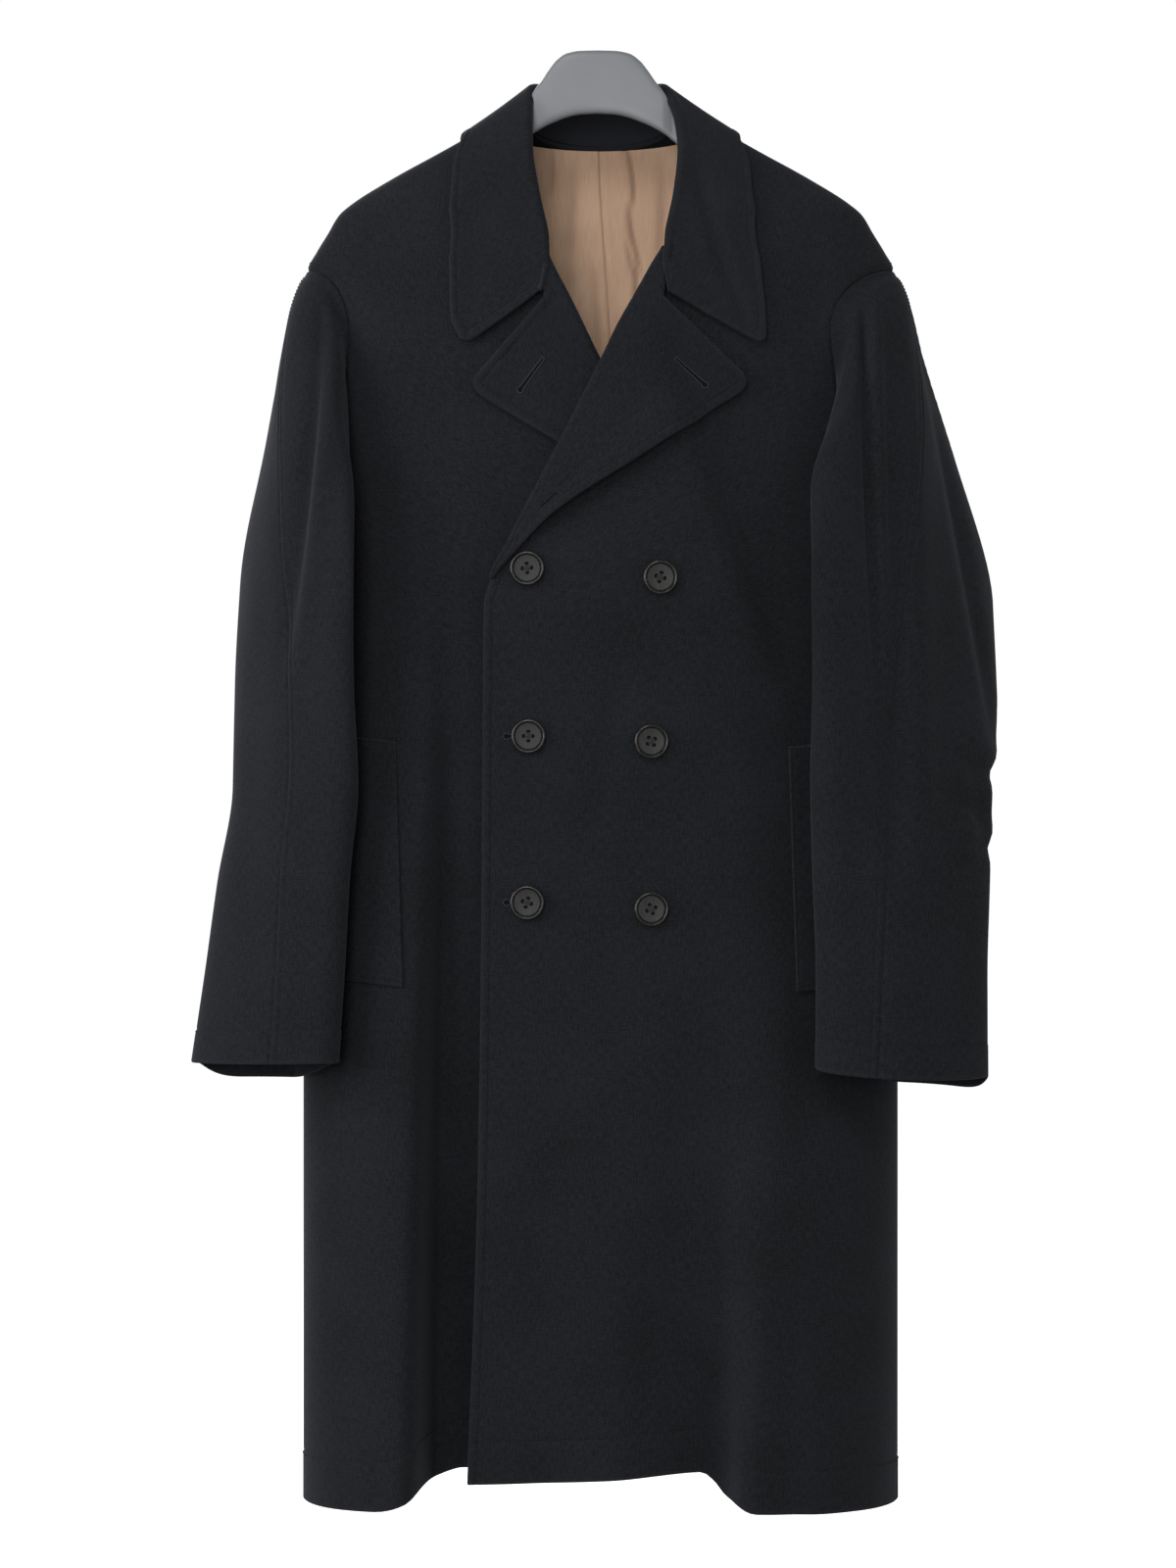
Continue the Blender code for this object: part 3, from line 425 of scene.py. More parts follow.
@dataclass(frozen=True)
class WoolCoating:
    """Woven wool coating, milled and lightly brushed: dull black, a fine upright thread, a faint pale nap."""

    name: str = "wool_coating"
    ground: str = "#101113"
    thread: str = "#1b1c20"
    # A paler tone: wear at edges and hems, and painted light that lifts the shadowed collar stand.
    paler_tone: str = "#2a2b30"
    nap: str = "#c9d0dc"
    rough: float = 0.86
    sheen: float = 0.06
    # Real threads lie 0.5 mm apart; they are drawn 1.2 mm apart, because finer ones vanish in the render.
    thread_gap: float = 1.2
    slub_length: float = 6.0
    cloud_size: float = 70.0

    def make(self) -> Material:
        """Make the cloth: threads both ways, slubs along the warp, clouds of wear, paler worn edges and hems, and the
        painted light on the collar stand.

        Returns:
            The material.
        """
        material, tree, shader = new_material(self.name)
        add = partial(add_node, tree)
        place = add("UVMap", uv_map=CLOTH_MAP)
        warp, slub = 1 / (self.thread_gap * MM), 1 / (self.slub_length * MM)
        upright, crossed = (
            add("Mapping", {"Vector": place, "Scale": scale}) for scale in ((warp, slub, 1), (slub, warp, 1)))
        grain, weft, fleck, cloud = (
            add("TexNoise", {"Vector": vector, "Scale": scale, "Detail": detail, "Roughness": rough},
                noise_dimensions="2D")
            for vector, scale, detail, rough in (
                (upright, 1.0, 2.0, 0.6), (crossed, 1.0, 2.0, 0.6), (place, 1.3 * warp, 1.0, 0.5),
                (place, 1 / (self.cloud_size * MM), 3.0, 0.5)))
        mottle = grain
        for texture, share in ((weft, 0.7), (fleck, 0.5), (cloud, 0.35)):
            mottle = add("Math", {0: texture, 1: share, 2: mottle}, operation="MULTIPLY_ADD")
        tint = add("MapRange", {"Value": mottle, "From Min": 0.9, "From Max": 1.65},
                   interpolation_type="SMOOTHSTEP")
        cloth = add("Mix", {0: tint, 6: linear(self.ground), 7: linear(self.thread)}, data_type="RGBA")
        # The attribute makes the wool paler: wear at edges and hems, and painted light over the collar stand.
        edge = add("Attribute", attribute_name=WEAR_LIGHT_SATIN_ATTRIBUTE).outputs["Fac"]
        set_sockets(tree, shader, {
            "Base Color": add("Mix", {0: edge, 6: cloth, 7: linear(self.paler_tone)}, data_type="RGBA"),
            "Roughness": add("MapRange", {
                "Value": mottle, "From Min": 0.9, "From Max": 2.1,
                "To Min": self.rough + 0.08, "To Max": self.rough - 0.08}),
            "Normal": add("Bump", {"Strength": 0.35, "Distance": 0.5 * MM, "Height": mottle}),
            "IOR": 1.5, "Specular IOR Level": 0.1, "Sheen Weight": self.sheen, "Sheen Roughness": 0.45,
            "Sheen Tint": linear(self.nap)})
        return material


@dataclass(frozen=True)
class LiningTwill:
    """Cotton lining twill, smooth woven and pressed: warm tan, a fine upright rib and a low sheen."""

    name: str = "lining_twill"
    ground: str = "#c09c80"
    rib: str = "#d0ad92"
    # Painted shade: the darker tan laid along the centre seam and beside the wrinkles.
    crease: str = "#6f5343"
    rough: float = 0.62
    # Real ribs lie 0.4 mm apart; they are drawn 1.1 mm apart, so that they show.
    rib_gap: float = 1.1
    rib_length: float = 1000 / 60
    cloud_size: float = 1000 / 22

    def make(self) -> Material:
        """Make the cloth: ribs, uneven along their length, with faint cloudy fading, and painted shade in a darker
        tan along the seam and beside the creases.

        Returns:
            The material.
        """
        material, tree, shader = new_material(self.name)
        add = partial(add_node, tree)
        place = add("UVMap", uv_map=CLOTH_MAP)
        upright = add("Mapping", {
            "Vector": place, "Scale": (1 / (self.rib_gap * MM), 1 / (self.rib_length * MM), 1)})
        ribs, cloud = (
            add("TexNoise", {"Vector": vector, "Scale": scale, "Detail": detail}, noise_dimensions="2D")
            for vector, scale, detail in ((upright, 1.0, 2.0), (place, 1 / (self.cloud_size * MM), 4.0)))
        mixed = add("Math", {0: cloud, 1: 0.6, 2: ribs}, operation="MULTIPLY_ADD")
        tint = add("MapRange", {"Value": mixed, "From Min": 0.4, "From Max": 1.2})
        cloth = add("Mix", {0: tint, 6: linear(self.ground), 7: linear(self.rib)}, data_type="RGBA")
        # The attribute carries the painted shade.
        shade = add("Attribute", attribute_name=WEAR_LIGHT_SATIN_ATTRIBUTE).outputs["Fac"]
        set_sockets(tree, shader, {
            "Base Color": add("Mix", {0: shade, 6: cloth, 7: linear(self.crease)}, data_type="RGBA"),
            "Normal": add("Bump", {"Strength": 0.2, "Distance": 0.3 * MM, "Height": ribs}),
            "Roughness": self.rough, "Specular IOR Level": 0.25, "Sheen Weight": 0.05, "Sheen Roughness": 0.5})
        return material


@dataclass(frozen=True)
class PolishedHorn:
    """Buffalo horn, turned: near black with brown streaks, a polished rim and a satin face."""

    name: str = "polished_horn"
    ground: str = "#161514"
    streak: str = "#2a2623"
    rough: float = 0.2
    dull: float = 0.56
    streak_width: float = 2.2
    streak_slant: float = 35.0

    def make(self) -> Material:
        """Make the horn: streaks drawn out one way, uneven in polish, and duller where the face is satin.

        Returns:
            The material.
        """
        material, tree, shader = new_material(self.name)
        add = partial(add_node, tree)
        wide = 1 / (self.streak_width * MM)
        drawn = add("Mapping", {
            "Vector": add("TexCoord").outputs["Object"], "Rotation": (0, math.radians(self.streak_slant), 0),
            "Scale": (wide, wide, wide / 5)})
        streaks = add("TexNoise", {"Vector": drawn, "Scale": 1.0, "Detail": 4.0, "Distortion": 0.6})
        tint = add("MapRange", {"Value": streaks, "From Min": 0.5, "From Max": 0.75},
                   interpolation_type="SMOOTHSTEP")
        polish = add("MapRange", {
            "Value": streaks, "To Min": self.rough - 0.06, "To Max": self.rough + 0.1})
        face = add("Attribute", attribute_name=WEAR_LIGHT_SATIN_ATTRIBUTE).outputs["Fac"]
        set_sockets(tree, shader, {
            "Base Color": add("Mix", {0: tint, 6: linear(self.ground), 7: linear(self.streak)}, data_type="RGBA"),
            "Roughness": add("Math", {0: face, 1: self.dull - self.rough, 2: polish}, operation="MULTIPLY_ADD"),
            "IOR": 1.54, "Specular IOR Level": 0.32})
        return material


@dataclass(frozen=True)
class MouldedPlastic:
    """Polystyrene, moulded in a finely blasted tool: mid grey, satin, with a faint grain."""

    name: str = "moulded_plastic"
    ground: str = "#67696d"
    shade: str = "#606366"
    rough: float = 0.42
    # Real grain is 0.1 mm; it is drawn at 0.8 mm, so that it shows.
    grain: float = 0.8
    patch_size: float = 1000 / 30

    def make(self) -> Material:
        """Make the plastic: a blasted grain, and broad patches where handling has smoothed it.

        Returns:
            The material.
        """
        material, tree, shader = new_material(self.name)
        add = partial(add_node, tree)
        place = add("TexCoord").outputs["Object"]
        grit = add("TexNoise", {"Vector": place, "Scale": 1 / (self.grain * MM), "Detail": 2.0})
        patch = add("TexNoise", {"Vector": place, "Scale": 1 / (self.patch_size * MM), "Detail": 3.0})
        set_sockets(tree, shader, {
            "Base Color": add("Mix", {0: patch, 6: linear(self.ground), 7: linear(self.shade)}, data_type="RGBA"),
            "Roughness": add("MapRange", {
                "Value": patch, "To Min": self.rough - 0.08, "To Max": self.rough + 0.08}),
            "Normal": add("Bump", {"Strength": 0.08, "Distance": 0.2 * MM, "Height": grit}),
            "IOR": 1.59, "Specular IOR Level": 0.4})
        return material


@dataclass(frozen=True)
class SewingThread:
    """Spun polyester thread: black, twisted, a little shinier than the wool round it."""

    name: str = "sewing_thread"
    ground: str = "#121315"
    ply: str = "#1f2023"
    rough: float = 0.75
    ply_gap: float = 0.7

    def make(self) -> Material:
        """Make the thread: slanting plies in two near-black shades.

        Returns:
            The material.
        """
        material, tree, shader = new_material(self.name)
        add = partial(add_node, tree)
        place = add("TexCoord").outputs["Object"]
        twist = add("TexWave", {"Vector": place, "Scale": 0.35 / (self.ply_gap * MM), "Distortion": 1.5},
                    bands_direction="DIAGONAL").outputs["Fac"]
        set_sockets(tree, shader, {
            "Base Color": add("Mix", {0: twist, 6: linear(self.ground), 7: linear(self.ply)}, data_type="RGBA"),
            "Roughness": self.rough, "Specular IOR Level": 0.15})
        return material


@dataclass(frozen=True)
class StudioPaper:
    """Rolled studio paper, lit from below: a plain pale matt floor that meets the white surround."""

    name: str = "studio_paper"
    ground: str = "#fbfbfb"
    shade: str = "#f8f8f8"

    def make(self) -> Material:
        """Make the paper, matt and faintly uneven.

        Returns:
            The material.
        """
        material, tree, shader = new_material(self.name)
        add = partial(add_node, tree)
        mottle = add("TexNoise", {"Vector": add("TexCoord").outputs["Object"], "Scale": 3.0})
        set_sockets(tree, shader, {
            "Base Color": add("Mix", {0: mottle, 6: linear(self.ground), 7: linear(self.shade)}, data_type="RGBA"),
            "Roughness": 0.9, "Specular IOR Level": 0.0, "Emission Color": (1, 1, 1, 1), "Emission Strength": 0.6})
        return material


@dataclass(frozen=True)
class Finishes:
    """The materials that the pieces share."""

    wool: Material
    lining: Material
    horn: Material
    plastic: Material
    thread: Material
    cord: Material
    # Painted shade: the near-black sheet in each buttonhole's slit.
    hollow: Material

    def of(self, cloth: Cloth) -> Material:
        """Return the material of a cloth."""
        return self.lining if cloth is Cloth.LINING else self.wool


def place_mesh(
    name: str, points: Array, faces: list, material: Material,
    nodes: Sequence[str] = (), cloth_map: Array | None = None, wear_light_satin: Array | None = None,
) -> Object:
    """Put a mesh in the scene as a piece that rides on the coat.

    Args:
        name: the piece's name.
        points: vertices in millimetres.
        faces: vertex numbers of each face.
        material: its finish.
        nodes: solids that it stands for.
        cloth_map: place of each vertex on the flat cloth, in metres.
        wear_light_satin: share of each vertex, from 0 to 1: its wear, the painted light on the collar stand, the
            painted shade on the lining, and on a button its satin face.

    Returns:
        The piece.
    """
    mesh = bpy.data.meshes.new(name)
    mesh.from_pydata((points.reshape(-1, 3) * MM).tolist(), [], faces)
    mesh.shade_smooth()
    mesh.materials.append(material)
    if cloth_map is not None:
        corners = np.zeros(len(mesh.loops), np.int32)
        mesh.loops.foreach_get("vertex_index", corners)
        flat = cloth_map[corners].astype(np.float32).ravel()
        mesh.uv_layers.new(name=CLOTH_MAP).data.foreach_set("uv", flat)
    if wear_light_satin is not None:
        mesh.attributes.new(WEAR_LIGHT_SATIN_ATTRIBUTE, "FLOAT", "POINT").data.foreach_set("value", wear_light_satin.astype(np.float32))
    piece = bpy.data.objects.new(name, mesh)
    bpy.context.scene.collection.objects.link(piece)
    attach(piece, BODY)
    if nodes:
        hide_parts(*nodes)
    log.info("%s: %d faces", name, len(mesh.polygons))
    return piece


@dataclass
class Wall:
    """A wall of cloth about a grid of middle points, closed round a rounded rim."""

    middle: Array
    thickness: float
    facing: float
    across: Array
    along: Array
    rim: Array | float = 0.0
    # Share of a second tone: wear at edges and hems, painted light on the collar stand, painted shade on the lining.
    wear_light_satin: Array | float = 0.0
    cloth: Cloth = Cloth.WOOL

    def normals(self) -> Array:
        """Return the outward directions, square to the grid's rows and columns."""
        down, over = np.gradient(self.middle, axis=0), np.gradient(self.middle, axis=1)
        return self.facing * unit(np.cross(down, over))

    def outer(self) -> Array:
        """Return the outer face's points."""
        return self.middle + self.normals() * self.thickness / 2

    def turn_out(self, aim: Array, *place: int | slice) -> None:
        """Make the outer face the one that looks along an aim at a place on the grid."""
        self.facing = float(np.sign(np.sum(self.normals()[place] * aim)))

    def row(self, *place: int | slice | Array) -> Line:
        """Return points of the outer face along a place on the grid, with their outward directions."""
        return self.outer()[place], self.normals()[place]

    def cut(self) -> tuple[tuple[float, float], float]:
        """Measure the flat cloth.

        Returns:
            Its size in metres, longest row and longest column, and its area in square metres.
        """
        size = lengths(self.middle)[:, -1].max() * MM, depths(self.middle)[-1].max() * MM
        sides = np.diff(self.middle, axis=0)[:, :-1], np.diff(self.middle, axis=1)[:-1]
        return size, np.linalg.norm(np.cross(*sides), axis=-1).sum() * MM * MM

    def build(self, node: str, finishes: Finishes) -> Object:
        """Make the wall: both faces, joined by a rim whose middle stands out.

        Args:
            node: solid that it stands for.
            finishes: the coat's materials.

        Returns:
            The piece.
        """
        rows, columns = self.middle.shape[:2]
        count = rows * columns
        offset = self.normals() * self.thickness / 2
        number = numbered(self.middle)
        border = np.concatenate([number[0, :-1], number[:-1, -1], number[-1, :0:-1], number[:0:-1, 0]])
        within = np.clip(np.arange(rows), 1, rows - 2), np.clip(np.arange(columns), 1, columns - 2)
        outward = unit(self.middle - self.middle[np.ix_(*within)]).reshape(-1, 3)[border]
        push = np.broadcast_to(self.rim, (rows, columns)).reshape(-1, 1)[border]
        edge = self.middle.reshape(-1, 3)[border] + push * outward
        shells = (self.middle + offset, self.middle - offset, edge)
        points = np.concatenate([part.reshape(-1, 3) for part in shells])
        rim = 2 * count + np.arange(len(border))
        following, rim_following = np.roll(border, -1), np.roll(rim, -1)
        faces = np.concatenate([
            quads(number)[:, ::-1], quads(number + count),
            np.stack([border, following, rim_following, rim], axis=-1),
            np.stack([rim, rim_following, following + count, border + count], axis=-1)])
        if self.facing < 0:
            faces = faces[:, ::-1]
        flat = np.stack([self.across, self.along], axis=-1).reshape(-1, 2) * MM
        wear_light_satin = np.broadcast_to(self.wear_light_satin, (rows, columns)).ravel()
        piece = place_mesh(
            node + "_cloth", points, faces.tolist(), finishes.of(self.cloth), [node],
            np.concatenate([flat, flat, flat[border]]), np.concatenate([wear_light_satin, wear_light_satin, wear_light_satin[border]]))
        size, area = self.cut()
        min(area, size[0] * size[1])
        return piece


@dataclass(frozen=True)
class EdgeWork:
    """How edges and seams are sewn, as relief in the cloth."""

    inset: float = 6.0
    puff: float = 0.35
    furrow: float = 0.5
    furrow_width: float = 0.9
    seam_depth: float = 0.9
    seam_width: float = 1.7
    worn_share: float = 0.16
    worn_width: float = 1.8
    rim_reach: float = 0.9

    def turned(self, distance: Array) -> Array:
        """Return a turned edge's relief: a puffed border, then a furrow at the stitch row."""
        border = ramp(0, 1.5, distance) * (1 - ramp(self.inset - 1.6, self.inset, distance))
        return self.puff * border - self.furrow * bell(distance - self.inset, self.furrow_width)

    def seam(self, distance: Array) -> Array:
        """Return a seam's relief: the cloth turns in, a bell of the distance from the seam."""
        return -self.seam_depth * bell(distance, self.seam_width)

    def hem(self, distance: Array, depth: float) -> Array:
        """Return a hem's relief: doubled cloth up to the stitch row, and a furrow there."""
        doubled = 1 - ramp(depth - 1.5, depth + 0.5, distance)
        return self.puff * doubled - self.furrow * bell(distance - depth, self.furrow_width)

    def paler_tone(self, distance: Array) -> Array:
        """Return the wear of an edge, which fades over a few millimetres."""
        return self.worn_share * bell(distance, self.worn_width)

    def rim(self, shape: tuple[int, ...], free_edge: bool = False) -> Array:
        """Return how far a panel's rim stands out, which is none at its seams.

        Args:
            shape: rows and columns of the panel.
            free_edge: whether its first column is an edge too, beside its hem.

        Returns:
            The distances.
        """
        rim = np.zeros(shape)
        rim[-1] = self.rim_reach
        if free_edge:
            rim[:, 0] = self.rim_reach
        return rim


EDGES = EdgeWork()
NEAR_EDGE = (0.0, 0.5, 1.4, 2.8, 4.2, 5.0, 5.5, 6.0, 6.5, 7.0, 8.0, 10.0, 13.0)
STITCH_COLUMN = NEAR_EDGE.index(EDGES.inset)
NEAR_SEAM = (0.0, 0.6, 1.4, 2.4, 3.8, 5.4, 6.0, 6.6, 8.0, 11.0)
SEAM_STITCH = NEAR_SEAM.index(EDGES.inset)
NEAR_HEM = (0, 0.5, 1.6, 3.5, 7, 12, 18, 24)


def hem_rows(depth: float, lead: float = 2.2) -> list[float]:
    """Return distances of rows from a hem, close together at its edge and at the stitch row at its depth."""
    above = [depth - lead, depth - 1, depth, depth + 1, depth + 2.4, depth + 5]
    return [row for row in NEAR_HEM if row < depth - lead] + above


def panel_rows(hem: Sequence[float], upper: int, lower: int, length: float) -> tuple[Array, Array]:
    """Space out the rows of a panel.

    Args:
        hem: distances of the last rows from the hem.
        upper: spaces between the rows at the armhole.
        lower: even rows below it.
        length: distance from the underarm to the hem.

    Returns:
        Shares of the way down the armhole, then from the underarm to the hem.
    """
    set_rows = 1 - np.asarray(hem)[::-1] / length
    even = np.linspace(0, set_rows[0], lower + 2)[1:-1]
    return np.linspace(0, 1, upper + 1) ** 1.25, np.concatenate([even, set_rows])


@dataclass(frozen=True)
class CoatForm:
    """The hanging coat's shape: flattened oval sections, long folds, creases and the lift of the overlap."""

    cloth: float = 2.0
    roundness: float = 0.7
    neck_drop: float = 43.0
    back_neck_drop: float = 67.0
    shoulder_drop: float = 175.0
    underarm_drop: float = 425.0
    hem_drop: float = 1150.0
    side_fade: int = 8
    turn_step: float = 0.004
    drop_step: float = 1.5
    lift_chest: float = 11.0
    lift_skirt: float = 3.6
    lift_starts: tuple[float, float] = (195, 245)
    lift_eases: tuple[float, float] = (430, 520)
    lift_edge: float = 48.0
    lift_slant: float = 0.36
    lift_soft: float = 10.0
    armhole_hind: float = 32.0
    armhole_left: float = 56.0
    armhole_right: float = 38.0
    sections: Table = Table("drop half_width front_depth back_depth", (
        (43, 61, 21, 38), (62, 95, 28, 55), (83, 132, 35, 61), (102, 166, 42, 65), (123, 199, 49, 68),
        (132, 209, 52, 69), (146, 217, 55, 71), (161, 226, 58, 72), (175, 233, 62, 74), (250, 236, 76, 79),
        (425, 236, 88, 84), (700, 236, 92, 88), (1150, 236, 96, 92)))
    front_edge: Table = Table("drop out recess", (
        (43, 61, 0), (62, 59, 2), (94, 56, 4.5), (125, 51, 5), (158, 42, 5), (181, 34, 5), (205, 23, 5),
        (250, 2, 5), (345, -46, 5), (395, -73, 4.6), (420, -85, 2.4), (445, -90, 0), (700, -92, 0),
        (900, -95, 0), (1150, -104, 0)))
    neck_ease: Table = Table("drop left right", (
        (43, 0, 0), (62, 2, 0.4), (94, 5, 1), (125, 6.5, 1.6), (158, 7.5, 2.6), (181, 3.4, 1.4), (207, 1.6, 0.4),
        (235, 0, 0), (260, 0, 0)))
    armhole_cut: Table = Table("drop share", (
        (175, 0), (180, 0.36), (193, 0.72), (210, 0.93), (226, 1), (262, 0.94), (305, 0.8), (352, 0.58),
        (400, 0.27), (425, 0)))
    flutes: tuple[Flute, ...] = (
        Flute(Layer.UNDER, 330, 34, (-260, -260), 10, (-126, -141), 5.5, 0.7),
        Flute(Layer.UNDER, 430, -34, (-120, -136), 5.5, (160, 160), 10, 0.5),
        Flute(Layer.OVER, 640, 34, (108, 103), 7, (260, 260), 10, 4.0),
        Flute(Layer.OVER, 760, -13, (40, 62), 16, (112, 97), 7, 3.0),
        Flute(Layer.BACK, 380, 16, (-200, -185), 20, (-110, -100), 18),
        Flute(Layer.BACK, 420, -12, (-80, -85), 18, (-20, -22), 18),
        Flute(Layer.BACK, 400, 14, (60, 66), 20, (170, 160), 22),
    )
    creases: dict = field(default_factory=lambda: {
        Layer.UNDER: (
            Crease(-133, 350, -122, 640, 5, 11, -2.4), Crease(-119, 545, -141, 1290, -5, 10, -7.5),
            Crease(-168, 430, -186, 930, 7, 26, 2.6), Crease(-206, 700, -190, 1320, -6, 16, -2.6),
            Crease(-152, 215, -118, 430, 9, 20, -1.7), Crease(-100, 300, -112, 520, -6, 16, 1.4),
            Crease(-160, 930, -170, 1330, 5, 14, 2.2),
        ),
        Layer.OVER: (
            Crease(15, 466, -17, 664, 5, 12, -1.5), Crease(94, 880, 96, 1330, 4, 8, -3.6),
            Crease(72, 1020, 97, 1054, 3, 5, -1.8), Crease(80, 1066, 97, 1088, -2, 4, -1.6),
            Crease(-66, 522, -44, 526, 1.5, 3.2, -1.4), Crease(169, 128, 171, 246, -4, 14, -2.2),
            Crease(62, 690, 30, 1010, -8, 22, 1.9), Crease(122, 430, 136, 770, 6, 18, -1.7),
            Crease(-40, 800, -60, 1330, 6, 20, -2.0), Crease(14, 880, 32, 1340, -7, 18, 2.3),
            Crease(-52, 452, 40, 500, -5, 12, 0.9), Crease(130, 880, 150, 1330, 6, 14, -2.4),
            Crease(175, 860, 168, 1330, -5, 16, 2.0), Crease(70, 262, 150, 420, 8, 22, -1.2),
        ),
        Layer.BACK: (
            Crease(4, 110, -8, 500, 6, 30, -2.0), Crease(-128, 250, -62, 540, 10, 24, -2.6),
            Crease(130, 262, 72, 540, -9, 22, -2.3), Crease(-42, 590, -60, 1330, 7, 17, -3.2),
            Crease(46, 520, 32, 1340, -6, 15, -3.0), Crease(150, 600, 166, 1330, 7, 17, -3.0),
            Crease(-166, 560, -150, 1320, -8, 19, -2.6), Crease(-100, 820, -108, 1330, 4, 12, 2.4),
            Crease(96, 760, 104, 1330, -4, 13, 2.6), Crease(-70, 150, 66, 158, 6, 14, -1.1),
        ),
    })

    def half_width(self, drop: Array) -> Array:
        """Return half the body's width at a drop."""
        return self.sections.at("half_width", drop)

    def unevenness(self, x: Array, drop: Array) -> Array:
        """Return the cloth's slight waviness, products of slow sines across and down."""
        broad = np.sin(x / 37 + drop / 210 + 0.6) * np.sin(drop / 83 + 1.1)
        return 0.45 * broad + 0.22 * (np.sin(x / 17 - drop / 140 + 2.0) * np.sin(drop / 41 + x / 61))

    def folds(self, layer: Layer, x: Array, drop: Array) -> Array:
        """Return how far the long folds and the overlap's lift move a layer of cloth outwards.

        The lift is a step that ends at a slanting line, at the chest's height and then the skirt's.

        Args:
            layer: layer of cloth.
            x: distances across the coat.
            drop: distances down it.

        Returns:
            The distances outwards.
        """
        depth = np.zeros(np.broadcast(x, drop).shape)
        for flute in self.flutes:
            if flute.layer is layer:
                depth = depth + flute.height(x, drop, self.hem_drop)
        if layer is Layer.OVER:
            height = between(self.lift_chest, self.lift_skirt, ramp(*self.lift_eases, drop))
            edge = self.lift_edge + self.lift_slant * (np.minimum(drop, self.lift_eases[1]) - self.lift_starts[1])
            depth = depth + height * ramp(*self.lift_starts, drop) * step(edge - x, self.lift_soft)
        return depth

    def points(self, turn: Array, drop: Array, layer: Layer, creased: bool = True) -> Array:
        """Return outer points of a layer.

        Across is the half width times the sine of the turn. Depth is the section's depth times the turn's
        cosine to a power, plus the folds and creases, which fade out at the sides.

        Args:
            turn: 0 at the middle of the front and a right angle at the left side.
            drop: distances down the coat.
            layer: layer of cloth.
            creased: whether the creases are there.

        Returns:
            Points in millimetres.
        """
        width = self.half_width(drop)
        facing = np.cos(turn)
        x = width * np.sin(turn)
        extra = self.folds(layer, x, drop)
        if creased:
            extra = extra + self.unevenness(x, drop) + sum(c.height(x, drop) for c in self.creases[layer])
        fade = 1 - np.clip(np.abs(x) / width, 0, 1) ** self.side_fade
        depth = np.where(facing >= 0, self.sections.at("front_depth", drop), self.sections.at("back_depth", drop))
        reach = depth * np.abs(facing) ** self.roundness + extra * fade
        return np.stack([x, np.where(facing >= 0, -reach, reach), -drop * np.ones_like(x)], axis=-1)

    def surface(self, turn: Array, drop: Array, layer: Layer, creased: bool = True) -> Line:
        """Return outer points of a layer and its outward directions there.

        A direction is square to small steps of turn and of drop.

        Args:
            turn: 0 at the middle of the front and a right angle at the left side.
            drop: distances down the coat.
            layer: layer of cloth.
            creased: whether the creases are there.

        Returns:
            Points and directions.
        """
        at = partial(self.points, layer=layer, creased=creased)
        over = at(turn + self.turn_step, drop) - at(turn - self.turn_step, drop)
        down = at(turn, drop + self.drop_step) - at(turn, drop - self.drop_step)
        return at(turn, drop), unit(np.cross(down, over))

    def turn_at(self, out: Array, drop: Array) -> Array:
        """Return the turn at which a section has the given distance out from the middle."""
        return np.arcsin(np.clip(out / self.half_width(drop), -1, 1))

    def edge(self, drop: Array, side: Side) -> Array:
        """Return the edge of a front's own wall, behind the roll of its lapel and eased out at the neck."""
        recess = self.front_edge.at("recess", drop) + self.neck_ease.at(side.value, drop)
        return self.front_edge.at("out", drop) + recess

    def armhole(self, share: Array, side: Side, face: Face) -> tuple[Array, Array]:
        """Return places on the armhole, which is cut in from the side by a share of its deepest cut.

        Args:
            share: 0 at the shoulder point and 1 at the underarm.
            side: side of the coat.
            face: its front or back half.

        Returns:
            Turn and drop.
        """
        front = self.armhole_left if side is Side.LEFT else self.armhole_right
        deepest = self.armhole_hind if face is Face.HIND else front
        middle = (self.shoulder_drop + self.underarm_drop) / 2
        drop = middle - (self.underarm_drop - self.shoulder_drop) / 2 * np.cos(np.pi * share)
        cut = deepest * self.armhole_cut.at("share", drop)
        turn = np.arcsin(np.clip(1 - cut / self.half_width(drop), -1, 1))
        return turn if face is Face.FORE else np.pi - turn, drop

    def neck(self, share: Array) -> tuple[Array, Array]:
        """Return out and drop on the back neckline, from the centre (0) to the neck point (1)."""
        out = self.sections.rows[0][1] * np.sin(share * np.pi / 2)
        return out, between(self.back_neck_drop, self.neck_drop, share**2)


